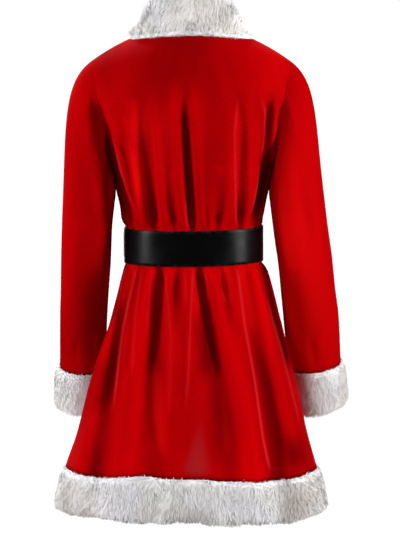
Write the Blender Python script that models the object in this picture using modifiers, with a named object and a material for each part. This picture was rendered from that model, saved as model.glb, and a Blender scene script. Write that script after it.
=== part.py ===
"""A velvet Santa suit in one piece: a long-sleeved A-line dress with fur trim, and a wide belt.

It stands as it does when worn, with the wearer taken away. Metres, +Z up. The front faces -Y and the
wearer's left is +X. The origin is midway between the two neck points of the shoulder seams, where the
wearer's shoulders hold the dress. Each cloth piece is an open surface worked out from sections and
folds, then thickened inwards.
"""

from collections import namedtuple

import bmesh
import bpy
import numpy as np
from mathutils import Vector

# ---------------------------------------------------------------- driving dimensions

CLOTH = 0.002  # thickness of a velvet wall
SEAM = 0.0006  # gap between two pieces at a seam, on the outer face
SHOULDER_SEAM = 0.0018  # gap there, wider because both walls bend over the ridge
HEM_SEAM = 0.0010  # gap there, wider because the skirt slopes
ARMHOLE_SEAM = 0.0020  # gap there, wider because the two walls meet at an angle

UNDERARM_Z = -0.235
SHOULDER_HALF = 0.188  # centre line to shoulder tip
NECK_HALF = 0.116  # centre line to the neck point of the shoulder seam
RIDGE_TOP = 0.026  # height that the shoulder ridge would reach on the centre line
RIDGE_FALL = 1.93  # the ridge falls by this times x squared
ARCH = 0.110  # height over which a panel rounds over the ridge
BACK_NECK_Y = 0.055  # centre back of the neckline, behind the neck points
HEM_Z = -0.812  # where the velvet ends and the fur begins

BELT_Z = -0.389
BELT_WIDTH = 0.067
BELT_TILT = -0.014  # the belt sits a little higher on the wearer's right
BELT_THICK = 0.0022
BELT_OFF = 0.0013  # between the cloth under the belt and the belt

# The body of the dress, level by level: its half width, its depths behind and before the side seams, and
# the place of its middle.
Section = namedtuple("Section", "z half_width back_depth front_depth middle_x middle_y")
SECTIONS = (
    Section(0.060, 0.205, 0.100, 0.100, 0.000, 0.000),
    Section(-0.040, 0.205, 0.106, 0.104, 0.000, 0.000),
    Section(-0.100, 0.203, 0.109, 0.110, 0.000, 0.000),
    Section(-0.170, 0.186, 0.109, 0.122, -0.001, 0.000),
    Section(-0.235, 0.157, 0.106, 0.127, -0.002, 0.000),
    Section(-0.282, 0.1430, 0.100, 0.120, -0.003, -0.001),
    Section(-0.320, 0.1370, 0.093, 0.109, -0.003, -0.003),
    Section(-0.337, 0.1325, 0.0905, 0.1035, -0.003, -0.004),
    Section(-0.351, 0.1284, 0.089, 0.100, -0.005, -0.005),
    Section(-0.427, 0.1284, 0.089, 0.100, -0.005, -0.005),
    Section(-0.444, 0.1365, 0.097, 0.104, -0.005, -0.003),
    Section(-0.482, 0.147, 0.106, 0.108, -0.006, 0.000),
    Section(-0.542, 0.1645, 0.117, 0.116, -0.006, 0.003),
    Section(-0.602, 0.182, 0.127, 0.124, -0.005, 0.006),
    Section(-0.662, 0.200, 0.136, 0.131, -0.002, 0.008),
    Section(-0.752, 0.222, 0.149, 0.141, 0.000, 0.010),
    Section(-0.812, 0.239, 0.158, 0.148, 0.000, 0.012),
    Section(-0.890, 0.259, 0.168, 0.157, 0.000, 0.013),
)

# The armhole's distance from the centre line, and the front neckline, by height.
EdgeRow = namedtuple("EdgeRow", "z x")
ARMHOLE = (
    EdgeRow(-0.235, 0.157),
    EdgeRow(-0.200, 0.163),
    EdgeRow(-0.150, 0.170),
    EdgeRow(-0.100, 0.176),
    EdgeRow(-0.042, 0.188),
)
NeckRow = namedtuple("NeckRow", "x z")
FRONT_NECK = (
    NeckRow(0.000, -0.170),
    NeckRow(0.028, -0.145),
    NeckRow(0.058, -0.115),
    NeckRow(0.088, -0.078),
    NeckRow(0.107, -0.040),
    NeckRow(0.116, 0.000),
)

# Each fold is a soft valley between two ridges, and it starts at the belt. x is measured across the panel
# from the centre line, depth is how far the valley goes in, and width is from its middle to where a ridge
# begins.
Fold = namedtuple("Fold", "x_belt depth_belt width_belt x_end z_end depth_end width_end")
BACK_FOLDS = (
    Fold(-0.004, 0.014, 0.010, 0.016, -0.065, 0.000, 0.012),
    Fold(0.062, 0.012, 0.010, 0.095, -0.090, 0.000, 0.014),
    Fold(0.102, 0.012, 0.011, 0.166, -0.140, 0.000, 0.014),
    Fold(-0.092, 0.010, 0.009, -0.094, -0.085, 0.000, 0.011),
    Fold(-0.121, 0.012, 0.010, -0.150, -0.090, 0.000, 0.013),
    Fold(0.028, 0.007, 0.009, 0.036, -0.230, 0.000, 0.010),
    Fold(-0.047, 0.008, 0.009, -0.056, -0.220, 0.000, 0.011),
    Fold(0.112, 0.009, 0.010, 0.178, -0.812, 0.009, 0.030),
    Fold(0.055, 0.013, 0.010, 0.076, -0.812, 0.006, 0.034),
    Fold(0.022, 0.006, 0.008, 0.034, -0.560, 0.000, 0.014),
    Fold(-0.010, 0.013, 0.010, -0.078, -0.812, 0.007, 0.034),
    Fold(-0.048, 0.006, 0.009, -0.072, -0.540, 0.000, 0.014),
    Fold(-0.098, 0.006, 0.010, -0.158, -0.812, 0.013, 0.036),
)
FRONT_FOLDS = (
    Fold(0.010, 0.010, 0.010, 0.004, -0.235, 0.000, 0.012),
    Fold(0.050, 0.012, 0.010, 0.072, -0.150, 0.000, 0.013),
    Fold(0.094, 0.011, 0.010, 0.134, -0.130, 0.000, 0.013),
    Fold(-0.034, 0.009, 0.010, -0.040, -0.205, 0.000, 0.012),
    Fold(-0.076, 0.012, 0.010, -0.102, -0.130, 0.000, 0.013),
    Fold(-0.112, 0.010, 0.010, -0.146, -0.140, 0.000, 0.013),
    Fold(0.106, 0.009, 0.010, 0.166, -0.812, 0.014, 0.028),
    Fold(0.066, 0.012, 0.010, 0.094, -0.812, 0.011, 0.032),
    Fold(0.024, 0.009, 0.009, 0.020, -0.812, 0.007, 0.032),
    Fold(-0.014, 0.008, 0.009, -0.026, -0.600, 0.000, 0.016),
    Fold(-0.052, 0.012, 0.010, -0.072, -0.812, 0.013, 0.032),
    Fold(-0.102, 0.010, 0.010, -0.158, -0.812, 0.015, 0.030),
)
FOLD_EDGE = 0.035  # folds die out this near a side seam
FOLD_RETURN = 0.040  # and this far on past the belt
UNDER_BELT = 0.45  # share of a valley's depth that the belt leaves
BELT_REACH = 0.030  # the belt still flattens the ridges this far above and below it

# The sleeves below the cap: outer and inner edge seen from behind, the place of the middle, and how each
# level slopes from front to back and from the inside out.
Sleeve = namedtuple("Sleeve", "z outer inner middle_y half_depth slope_y slope_x")
SLEEVE_LEFT = (
    Sleeve(-0.300, 0.2410, 0.1430, 0.000, 0.060, 0.00, 0.00),
    Sleeve(-0.360, 0.2425, 0.1500, -0.006, 0.058, -0.04, 0.00),
    Sleeve(-0.420, 0.2445, 0.1530, -0.020, 0.056, -0.10, 0.00),
    Sleeve(-0.480, 0.2460, 0.1580, -0.040, 0.054, -0.15, 0.01),
    Sleeve(-0.540, 0.2470, 0.1620, -0.063, 0.052, -0.18, 0.02),
    Sleeve(-0.638, 0.2480, 0.1650, -0.106, 0.047, -0.24, 0.02),
)
SLEEVE_RIGHT = (
    Sleeve(-0.300, 0.2520, 0.1480, 0.000, 0.061, 0.00, 0.04),
    Sleeve(-0.360, 0.2595, 0.1560, -0.006, 0.059, -0.04, 0.06),
    Sleeve(-0.420, 0.2665, 0.1640, -0.020, 0.057, -0.10, 0.08),
    Sleeve(-0.480, 0.2730, 0.1710, -0.040, 0.055, -0.15, 0.10),
    Sleeve(-0.540, 0.2805, 0.1770, -0.063, 0.053, -0.18, 0.10),
    Sleeve(-0.633, 0.2850, 0.1860, -0.104, 0.048, -0.24, 0.10),
)
CAP_TOP = (0.81, 0.0, -0.587)  # how the sleeve leaves the shoulder tip, in line with the ridge
CAP_LOW = (-0.12, 0.0, -1.0)  # and how it leaves the underarm
CAP_TURN = 0.8  # below 1, the top's direction reaches further down
CAP_SWELL = 0.35  # how far it swells behind and before the armhole
CAP_HANDLES = (0.024, 0.048)  # reach of that direction at the underarm, and what the shoulder adds
SLEEVE_HANDLES = (0.020, 0.130)  # the same for the sleeve's own direction at the end of the cap

CUFF_LENGTH = 0.084
CUFF_RUN = (0.004, -0.300, -1.0)  # the way that the cuff runs on from the sleeve, out, back and up
CUFF_SPREAD = 0.8  # how much of its sleeve's outward slope the cuff follows
CUFF_PROUD = 0.011  # how far the pile stands outside the sleeve
CUFF_WALL = 0.014
HEM_PROUD = 0.009
HEM_WALL = 0.016
HEM_END_Z = -0.892
HEM_TUCK = 0.004  # how far its lower edge turns in

# The fur collar's left half from centre back to centre front: the share of the neckline that lies behind
# its foot, the way that it stands, its height and thickness, and how far its middle lies inside the
# neckline.
Collar = namedtuple("Collar", "along lean_x lean_y lean_z height thick inset")
COLLAR = (
    Collar(0.00, 0.00, -0.26, 0.97, 0.086, 0.024, 0.011),
    Collar(0.20, -0.24, -0.22, 0.94, 0.086, 0.024, 0.011),
    Collar(0.38, -0.56, -0.08, 0.84, 0.089, 0.024, 0.009),
    Collar(0.54, -0.60, -0.16, 0.82, 0.088, 0.024, 0.006),
    Collar(0.70, -0.54, -0.22, 0.83, 0.080, 0.024, -0.001),
    Collar(0.85, -0.36, -0.20, 0.91, 0.072, 0.024, -0.006),
    Collar(1.00, 0.00, -0.10, 0.99, 0.070, 0.024, -0.007),
)
COLLAR_LIFT = 0.0011  # the foot stays this far off the cloth's edge
FULLNESS = 0.8  # 1 makes the collar's sections oval, and less makes them squarer
COLLAR_TURN = 0.3  # share of its height over which the collar moves in to its inset

BUCKLE_WIDTH, BUCKLE_HEIGHT, BUCKLE_THICK = 0.074, 0.082, 0.0026
BUCKLE_LIFT = 0.0022  # of its bar off the cloth, to pass the gathers above and below the belt
BUCKLE_SIDE, BUCKLE_RAIL, BUCKLE_BAR = 0.009, 0.007, 0.006  # widths of its sides, top and bottom, and bar
STRAP_GAP = 0.0004  # between the strap and what it passes
STRAP_START, STRAP_TIP = 0.052, 0.165  # ends of the strap, both on the wearer's left of the centre front

OVER_BAR = BUCKLE_LIFT + BUCKLE_THICK + STRAP_GAP  # how far the strap's inner face lies off the waist there
OVER_START = BELT_THICK + STRAP_GAP  # and where it lies over its own start
START_RAMP = 0.004  # the strap has risen this far before its start
StrapRow = namedtuple("StrapRow", "run off")

# ---------------------------------------------------------------- how finely each piece is drawn

SHOULDER_CELLS, NECK_CELLS = 10, 10  # columns over one shoulder, and over half the neck
UPPER_CELLS = 10  # rows from underarm to shoulder
LOWER_LEVELS = (
    *np.linspace(HEM_Z, -0.455, 8),
    -0.437,
    BELT_Z - BELT_WIDTH / 2,
    BELT_Z,
    BELT_Z + BELT_WIDTH / 2,
    -0.342,
    -0.312,
    -0.272,
    UNDERARM_Z,
)
CAP_CELLS, SLEEVE_CELLS = 7, 6
COLLAR_CELLS, COLLAR_ROUND = 16, 12
HEM_AROUND, CUFF_AROUND = 60, 2 * UPPER_CELLS
STRAP_CELLS = 96
NECKLINE_STEPS, WAIST_STEPS = 120, 1601  # steps that measure lengths along them

RED = (0.55, 0.0, 0.004, 1)
FUR = (0.78, 0.77, 0.77, 1)
BLACK = (0.008, 0.008, 0.009, 1)
GOLD = (0.72, 0.52, 0.2, 1)
BACK, FRONT = 1, -1
LEFT, RIGHT = 1, -1


# ---------------------------------------------------------------- curves through a table


def smooth(rows, key, value, at):
    """The column value at places along the column key, on a curve through the rows that doesn't overshoot."""
    table = sorted((getattr(row, key), getattr(row, value)) for row in rows)
    knots, heights = np.array(table).T
    steps = np.diff(heights) / np.diff(knots)
    both = steps[:-1] * steps[1:]
    inner = np.where(both > 0, 2 * both / np.where(both > 0, steps[:-1] + steps[1:], 1), 0)
    slopes = np.concatenate([steps[:1], inner, steps[-1:]])
    at = np.clip(np.asarray(at, float), knots[0], knots[-1])
    cell = np.clip(np.searchsorted(knots, at, side="right") - 1, 0, len(knots) - 2)
    span = knots[cell + 1] - knots[cell]
    t = (at - knots[cell]) / span
    return (
        (2 * t**3 - 3 * t**2 + 1) * heights[cell]
        + (t**3 - 2 * t**2 + t) * span * slopes[cell]
        + (3 * t**2 - 2 * t**3) * heights[cell + 1]
        + (t**3 - t**2) * span * slopes[cell + 1]
    )


def ease(value):
    """0 below 0, 1 above 1, and a smooth step between."""
    t = np.clip(value, 0, 1)
    return t * t * (3 - 2 * t)


def squared(wave):
    """A cosine or sine with fuller shoulders, which makes a circle a rounded square."""
    return np.sign(wave) * abs(wave) ** FULLNESS


def unit(vectors):
    vectors = np.asarray(vectors, float)
    return vectors / np.linalg.norm(vectors, axis=-1, keepdims=True)


# ---------------------------------------------------------------- the form of the dress


def belt_middle(x):
    return BELT_Z + BELT_TILT * x


def ridge(x):
    return RIDGE_TOP - RIDGE_FALL * x**2


def depth_name(side):
    return "back_depth" if side == BACK else "front_depth"


def fold_height(side, x, z):
    """How far the folds move the cloth out, at points of a panel given by x and height."""
    half = smooth(SECTIONS, "z", "half_width", z)
    deep = smooth(SECTIONS, "z", depth_name(side), z)
    middle = smooth(SECTIONS, "z", "middle_x", z)
    angle = np.arccos(np.clip((x - middle) / half, -1, 1))
    total = np.zeros_like(angle)
    for fold in BACK_FOLDS if side == BACK else FRONT_FOLDS:
        length = abs(fold.z_end - BELT_Z)
        run = (z - BELT_Z) * np.sign(fold.z_end - BELT_Z)
        share = np.clip(run / length, 0, 1)
        path = fold.x_belt + (fold.x_end - fold.x_belt) * share
        wide = fold.width_belt + (fold.width_end - fold.width_belt) * share
        depth = fold.depth_belt + (fold.depth_end - fold.depth_belt) * share**3
        at = np.arccos(np.clip((path - middle) / half, -1, 1))
        arc = np.hypot(half * np.sin(at), deep * np.cos(at))
        off = (angle - at) * arc / wide
        total -= ease(1 + run / FOLD_RETURN) * depth * (1 - off**2) * np.exp(-(off**2) / 2)
    near_belt = ease((abs(z - belt_middle(x)) - BELT_WIDTH / 2) / BELT_REACH)
    valley = UNDER_BELT + (1 - UNDER_BELT) * near_belt
    total *= np.where(total > 0, near_belt, valley)
    return total * ease(np.sin(angle) * deep / FOLD_EDGE)


def panel_point(side, x, z):
    """The cloth's outer surface at x and z, on the back or the front."""
    half = smooth(SECTIONS, "z", "half_width", z)
    deep = smooth(SECTIONS, "z", depth_name(side), z)
    middle_x = smooth(SECTIONS, "z", "middle_x", z)
    middle_y = smooth(SECTIONS, "z", "middle_y", z)
    across = np.clip((x - middle_x) / half, -1, 1)
    round_share = np.sqrt(1 - across**2)
    under = np.clip((ridge(x) - z) / ARCH, 0, 1)
    arch = np.sqrt(1 - (1 - under) ** 2)
    out = unit(np.stack([across / half, side * round_share / deep], axis=-1))
    fold = fold_height(side, x, z) * arch
    gap = SEAM / 2 + (SHOULDER_SEAM - SEAM) / 2 * (1 - under) * (z > UNDERARM_Z)
    y = middle_y + side * (deep * round_share * arch + gap)
    return np.stack([x + out[..., 0] * fold, y + out[..., 1] * fold, z + 0 * x], axis=-1)


def column_angles():
    """The angle of each column round a panel from the wearer's left, with one column on each neck point."""
    neck = np.arccos(NECK_HALF / SHOULDER_HALF)
    left = [*np.linspace(0, neck, SHOULDER_CELLS + 1), *np.linspace(neck, np.pi / 2, NECK_CELLS + 1)[1:]]
    return np.array([*left, *(np.pi - np.array(left[-2::-1]))])


def upper_shares():
    """Heights of the upper rows, from 0 at the underarm to 1 at the shoulder, closer at both ends."""
    return (1 - np.cos(np.pi * np.linspace(0, 1, UPPER_CELLS + 1))) / 2


def neckline_z(side, x):
    """Height of a panel's top edge: the shoulder seam, and the neckline inside the neck points."""
    x = abs(np.asarray(x, float))
    inside = np.clip(x, 0, NECK_HALF)
    if side == FRONT:
        neck = smooth(FRONT_NECK, "x", "z", inside)
    else:
        behind = BACK_NECK_Y * np.sqrt(np.clip(1 - (inside / NECK_HALF) ** 2, 0, 1))
        half = smooth(SECTIONS, "z", "half_width", 0)
        deep = smooth(SECTIONS, "z", "back_depth", 0) * np.sqrt(1 - (inside / half) ** 2)
        neck = ridge(inside) - ARCH * (1 - np.sqrt(1 - (behind / deep) ** 2))
    return np.where(x < NECK_HALF, neck, ridge(x))


def panel_grid(side):
    """Rows of points up a panel, each from the wearer's left to the right."""
    cosines = np.cos(column_angles())
    rows = []
    for z in LOWER_LEVELS:
        half = smooth(SECTIONS, "z", "half_width", z)
        x = smooth(SECTIONS, "z", "middle_x", z) + half * cosines
        rows.append(panel_point(side, x, np.full_like(x, z)))
    top_x = SHOULDER_HALF * cosines
    top_z = neckline_z(side, top_x)
    for share in upper_shares()[1:]:
        z = UNDERARM_Z + (top_z - UNDERARM_Z) * share
        edge_z = UNDERARM_Z + (ridge(SHOULDER_HALF) - UNDERARM_Z) * share
        half = smooth(ARMHOLE, "z", "x", edge_z)
        middle = smooth(SECTIONS, "z", "middle_x", edge_z) * (1 - share)
        rows.append(panel_point(side, middle + half * cosines, z))
    return np.array(rows)


# ---------------------------------------------------------------- sleeves


def armhole_ring(hand):
    """The armhole's points from the underarm up the back, over the shoulder tip and down the front."""
    column = 0 if hand == LEFT else -1
    first = len(LOWER_LEVELS) - 1
    back = panel_grid(BACK)[first:, column]
    front = panel_grid(FRONT)[first:, column]
    ring = np.concatenate([back, front[-2:0:-1]])
    ring[[0, UPPER_CELLS], 1] = 0
    return ring


def sleeve_level(hand, z, around):
    """A ring of the sleeve at a height. Its angle starts at the side by the body and goes round the back."""
    rows = SLEEVE_LEFT if hand == LEFT else SLEEVE_RIGHT
    outer, inner = smooth(rows, "z", "outer", z), smooth(rows, "z", "inner", z)
    out = (outer + inner) / 2 - np.cos(around) * (outer - inner) / 2
    behind = np.sin(around) * smooth(rows, "z", "half_depth", z)
    rise = smooth(rows, "z", "slope_y", z) * behind
    rise = rise + smooth(rows, "z", "slope_x", z) * (out - (outer + inner) / 2)
    return np.stack([hand * out, smooth(rows, "z", "middle_y", z) + behind, z + rise], axis=-1)


def sleeve_grid(hand):
    """Rings from the armhole to the cuff."""
    rows = SLEEVE_LEFT if hand == LEFT else SLEEVE_RIGHT
    around = np.linspace(0, 2 * np.pi, 2 * UPPER_CELLS, endpoint=False)
    start = armhole_ring(hand)
    high = ((1 - np.cos(around)) / 2)[:, None]
    away = np.array(CAP_LOW) + (np.array(CAP_TOP) - np.array(CAP_LOW)) * high**CAP_TURN
    away[:, 1] += CAP_SWELL * np.sin(around)
    away = unit(away) * (hand, 1, 1)
    start = start + away * ARMHOLE_SEAM
    first, last = rows[0].z, rows[-1].z
    end = sleeve_level(hand, first, around)
    up = unit(end - sleeve_level(hand, first - 0.02, around))
    handle_a = start + away * (CAP_HANDLES[0] + CAP_HANDLES[1] * high)
    handle_b = end + up * (SLEEVE_HANDLES[0] + SLEEVE_HANDLES[1] * high)
    rings = []
    for t in np.linspace(0, 1, CAP_CELLS + 1):
        upper = (1 - t) ** 3 * start + 3 * t * (1 - t) ** 2 * handle_a
        rings.append(upper + 3 * t**2 * (1 - t) * handle_b + t**3 * end)
    for z in np.linspace(first, last, SLEEVE_CELLS + 1)[1:]:
        rings.append(sleeve_level(hand, z, around))
    return np.array(rings)


# ---------------------------------------------------------------- meshes from points


def new_object(name, points, faces, material, collection):
    mesh = bpy.data.meshes.new(name)
    mesh.from_pydata([tuple(map(float, p)) for p in points], [], faces)
    mesh.update()
    mesh.materials.append(material)
    obj = bpy.data.objects.new(name, mesh)
    collection.objects.link(obj)
    mesh.shade_smooth()
    return obj


def loft_faces(rows, columns, closed):
    """Four-sided faces over rows of points. A closed loft joins each row's end to its start."""
    faces = []
    for row, here in np.ndindex(rows - 1, columns if closed else columns - 1):
        low, high = row * columns, (row + 1) * columns
        beyond = (here + 1) % columns
        faces.append((low + here, high + here, high + beyond, low + beyond))
    return faces


def face_outward(obj, centre):
    """Turns an open surface so that its faces point away from a centre line's point."""
    normal_sum = sum((p.center - centre).dot(p.normal) * p.area for p in obj.data.polygons)
    if normal_sum < 0:
        obj.data.flip_normals()


def cloth_wall(name, grid, material, collection, closed, centre):
    """A cloth piece: the loft over its grid, thickened inwards."""
    rows, columns = grid.shape[:2]
    obj = new_object(name, grid.reshape(-1, 3), loft_faces(rows, columns, closed), material, collection)
    face_outward(obj, centre)
    wall = obj.modifiers.new("Wall", "SOLIDIFY")
    wall.thickness = CLOTH
    wall.offset = -1
    return obj


def closed_loft(name, rings, material, collection, capped):
    """A solid over closed rings: capped at both ends, or joined end to start."""
    rings = np.asarray(rings)
    rows, columns = rings.shape[:2]
    if capped:
        faces = loft_faces(rows, columns, True)
        faces += [tuple(range(columns)), tuple((rows - 1) * columns + c for c in range(columns))]
    else:
        faces = loft_faces(rows + 1, columns, True)
        faces = [tuple(v % (rows * columns) for v in face) for face in faces]
    obj = new_object(name, rings.reshape(-1, 3), faces, material, collection)
    shape = bmesh.new()
    shape.from_mesh(obj.data)
    bmesh.ops.recalc_face_normals(shape, faces=shape.faces)
    shape.to_mesh(obj.data)
    shape.free()
    return obj


# ---------------------------------------------------------------- fur pieces

# Down the outer face of a fur tube: share of its length, and share of how far its pile stands out.
PileRow = namedtuple("PileRow", "down out")
PILE = (
    PileRow(0.00, 0.10),
    PileRow(0.04, 0.62),
    PileRow(0.22, 1.00),
    PileRow(0.55, 1.08),
    PileRow(0.86, 1.05),
    PileRow(0.97, 0.70),
    PileRow(1.00, 0.12),
)


def tube_section(top, bottom, out, proud, wall):
    """A ring's section: out over the pile from top to bottom, and back up its plain inner face."""
    outer = [top + (bottom - top) * row.down + out * (proud * row.out) for row in PILE]
    inner = [point - out * (wall - proud) for point in (bottom, (top + bottom) / 2, top)]
    return outer + inner


def hem_point(side, angle, z):
    """The velvet's outer surface carried on down to the fur hem's levels."""
    x = smooth(SECTIONS, "z", "middle_x", z) + smooth(SECTIONS, "z", "half_width", z) * np.cos(angle)
    return panel_point(side, x, z)


def hem_rings():
    """The fur hem's sections, all the way round from the wearer's left over the back."""
    sections = []
    for angle in np.linspace(0, 2 * np.pi, HEM_AROUND, endpoint=False):
        side = BACK if np.sin(angle) >= 0 else FRONT
        top, bottom = (hem_point(side, angle, z) for z in (HEM_Z, HEM_END_Z))
        half = smooth(SECTIONS, "z", "half_width", HEM_Z)
        deep = smooth(SECTIONS, "z", depth_name(side), HEM_Z)
        out = unit([np.cos(angle) / half, np.sin(angle) / deep, 0.0])
        top = top - (0, 0, HEM_SEAM)
        sections.append(tube_section(top, bottom - out * HEM_TUCK, out, HEM_PROUD, HEM_WALL))
    return sections


def cuff_rings(hand):
    """A fur cuff's sections, round the end of the sleeve."""
    rows = SLEEVE_LEFT if hand == LEFT else SLEEVE_RIGHT
    around = np.linspace(0, 2 * np.pi, CUFF_AROUND, endpoint=False)
    start = sleeve_level(hand, rows[-1].z, around)
    run = unit(CUFF_RUN + np.array([CUFF_SPREAD * rows[-1].slope_x, 0, 0])) * (hand, 1, 1)
    middle = start.mean(axis=0)
    sections = []
    for point in start:
        out = point - middle
        out = unit(out - run * out.dot(run))
        top = point + run * SEAM
        sections.append(tube_section(top, top + run * CUFF_LENGTH, out, CUFF_PROUD, CUFF_WALL))
    return sections


def neckline_path(cells):
    """Points and shares along the neckline's left half, from centre back round to centre front."""
    fine = np.linspace(0, 1, NECKLINE_STEPS)
    back_x = NECK_HALF * np.sin(fine * np.pi / 2)
    back = panel_point(BACK, back_x, neckline_z(BACK, back_x))
    front_x = NECK_HALF * np.cos(fine * np.pi / 2)[1:]
    front = panel_point(FRONT, front_x, neckline_z(FRONT, front_x))
    line = np.concatenate([back, front])
    run = np.concatenate([[0], np.cumsum(np.linalg.norm(np.diff(line, axis=0), axis=1))])
    shares = np.linspace(0, 1, cells + 1)
    points = np.stack([np.interp(shares * run[-1], run, line[:, k]) for k in range(3)], axis=1)
    return points, shares


def collar_rings(hand):
    """Oval sections of half the collar, from the seam at the centre back to the one at the centre front."""
    points, shares = neckline_path(COLLAR_CELLS)
    points[[0, -1], 0] = SEAM / 2
    ahead = np.gradient(points, axis=0)
    ahead[[0, -1]] = (1, 0, 0), (-1, 0, 0)
    turn = np.linspace(0, 2 * np.pi, COLLAR_ROUND, endpoint=False)
    rings = []
    for point, share, tangent in zip(points, shares, ahead, strict=True):
        lean = unit([smooth(COLLAR, "along", name, share) for name in ("lean_x", "lean_y", "lean_z")])
        height, thick, inset = (smooth(COLLAR, "along", name, share) for name in ("height", "thick", "inset"))
        out = unit(np.cross(lean, tangent))
        foot = point - out * CLOTH / 2 + lean * COLLAR_LIFT
        tall, wide = squared(np.cos(turn)), squared(np.sin(turn))
        up = (1 + tall) / 2
        across = wide * thick / 2 - inset * ease(up / COLLAR_TURN)
        ring = foot + up[:, None] * lean * height + across[:, None] * out
        ring[:, 0] = np.maximum(ring[:, 0], SEAM / 2)
        rings.append(ring * (hand, 1, 1))
    return rings


# ---------------------------------------------------------------- belt


def waist(name):
    """A size of the dress's section at the middle of the belt."""
    return float(smooth(SECTIONS, "z", name, BELT_Z))


def waist_runs():
    """Angles round the waist, more than once, and the length of belt from the centre front to each."""
    angle = np.linspace(-np.pi, 3 * np.pi, WAIST_STEPS)
    x = waist("half_width") * np.sin(angle)
    y = np.where(np.cos(angle) > 0, waist("front_depth"), waist("back_depth")) * np.cos(angle)
    run = np.concatenate([[0], np.cumsum(np.hypot(np.diff(x), np.diff(y)))])
    return angle, run - np.interp(0, angle, run)


def once_round():
    angle, run = waist_runs()
    return np.interp(2 * np.pi, angle, run)


def belt_point(run, z, off):
    """A point off the cloth, at a length of belt from the centre front round by the wearer's left."""
    angles, runs = waist_runs()
    angle = np.interp(run, runs, angles)
    depth = np.where(np.cos(angle) > 0, waist("front_depth"), waist("back_depth"))
    x = waist("middle_x") + (waist("half_width") + BELT_OFF + off) * np.sin(angle)
    y = waist("middle_y") - (depth + BELT_OFF + off) * np.cos(angle)
    return np.stack([x, y, belt_middle(x) + z], axis=-1)


def strap_grid():
    """Rows along the strap, each its lower and upper edge on the outer face."""
    lap = once_round()
    half = BUCKLE_WIDTH / 2
    rows = (
        StrapRow(STRAP_START, 0.0),
        StrapRow(lap - half + BUCKLE_SIDE, 0.0),
        StrapRow(lap - BUCKLE_BAR / 2, OVER_BAR),
        StrapRow(lap + BUCKLE_BAR / 2, OVER_BAR),
        StrapRow(lap + half - BUCKLE_SIDE, 0.0),
        StrapRow(lap + half, 0.0),
        StrapRow(lap + STRAP_START - START_RAMP, OVER_START),
        StrapRow(lap + STRAP_TIP, OVER_START),
    )
    knots = [row.run for row in rows]
    runs = np.union1d(np.linspace(STRAP_START, lap + STRAP_TIP, STRAP_CELLS), knots)
    off = np.interp(runs, knots, [row.off for row in rows]) + BELT_THICK
    return np.stack([belt_point(runs, z, off) for z in (-BELT_WIDTH / 2, BELT_WIDTH / 2)], axis=1)


def buckle_grid():
    """The slide buckle's outer face: points in rows up the belt, and the faces that its windows leave."""
    half, top = BUCKLE_WIDTH / 2, BUCKLE_HEIGHT / 2
    inner = half - BUCKLE_SIDE
    bar = BUCKLE_BAR / 2
    right = [*np.linspace(-half, -inner, 3), *np.linspace(-inner, -bar, 5)[1:]]
    runs = np.array([*right, 0.0, *(-np.array(right[::-1]))])
    levels = np.array([-top, -top + BUCKLE_RAIL, 0.0, top - BUCKLE_RAIL, top])
    side_off = BELT_THICK + STRAP_GAP
    off = BUCKLE_LIFT + (side_off - BUCKLE_LIFT) * ease(abs(runs) / inner) + BUCKLE_THICK
    grid = np.stack([belt_point(runs, z, off) for z in levels])
    columns = len(runs)
    faces = []
    for row, column in np.ndindex(len(levels) - 1, columns - 1):
        middle_run = abs(runs[column] + runs[column + 1]) / 2
        between_rails = row in (1, 2)
        if between_rails and bar < middle_run < inner:
            continue
        corner = row * columns + column
        faces.append((corner, corner + 1, corner + columns + 1, corner + columns))
    return grid.reshape(-1, 3), faces


# ---------------------------------------------------------------- the scene


def new_material(name, colour, roughness, metallic=0.0):
    material = bpy.data.materials.new(name)
    material.diffuse_color = colour
    material.use_nodes = True
    shader = material.node_tree.nodes["Principled BSDF"]
    shader.inputs["Base Color"].default_value = colour
    shader.inputs["Roughness"].default_value = roughness
    shader.inputs["Metallic"].default_value = metallic
    return material


def clear_scene():
    for obj in list(bpy.data.objects):
        bpy.data.objects.remove(obj, do_unlink=True)


def build_dress(collection):
    """The two panels and the two sleeves."""
    torso = Vector((0, 0, BELT_Z))
    for name, side in (("back_panel", BACK), ("front_panel", FRONT)):
        material = new_material(f"{name}_velvet", RED, 0.75)
        cloth_wall(name, panel_grid(side), material, collection, False, torso)
    for name, hand in (("sleeve_left", LEFT), ("sleeve_right", RIGHT)):
        grid = sleeve_grid(hand)
        material = new_material(f"{name}_velvet", RED, 0.75)
        cloth_wall(name, grid, material, collection, True, Vector(grid.mean(axis=(0, 1))))


def build_trim(collection):
    """The fur: collar, cuffs and hem."""
    for name, hand in (("left", LEFT), ("right", RIGHT)):
        material = new_material(f"collar_{name}_fur", FUR, 0.95)
        closed_loft(f"collar_{name}", collar_rings(hand), material, collection, True)
        material = new_material(f"cuff_{name}_fur", FUR, 0.95)
        closed_loft(f"cuff_{name}", cuff_rings(hand), material, collection, False)
    closed_loft("hem_trim", hem_rings(), new_material("hem_trim_fur", FUR, 0.95), collection, False)


def build_belt(collection):
    """The strap, and the slide buckle that it passes through."""
    middle = Vector((0, 0, BELT_Z))
    strap = new_material("belt_leatherette", BLACK, 0.35)
    wall = cloth_wall("belt_strap", strap_grid(), strap, collection, False, middle).modifiers["Wall"]
    wall.thickness = BELT_THICK
    points, faces = buckle_grid()
    gold = new_material("buckle_metal", GOLD, 0.3, 1.0)
    buckle = new_object("belt_buckle", points, faces, gold, collection)
    face_outward(buckle, middle)
    plate = buckle.modifiers.new("Plate", "SOLIDIFY")
    plate.thickness = BUCKLE_THICK
    plate.offset = -1


def main():
    clear_scene()
    suit = bpy.data.collections.new("santa_suit")
    bpy.context.scene.collection.children.link(suit)
    build_dress(suit)
    build_trim(suit)
    build_belt(suit)


main()
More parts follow.
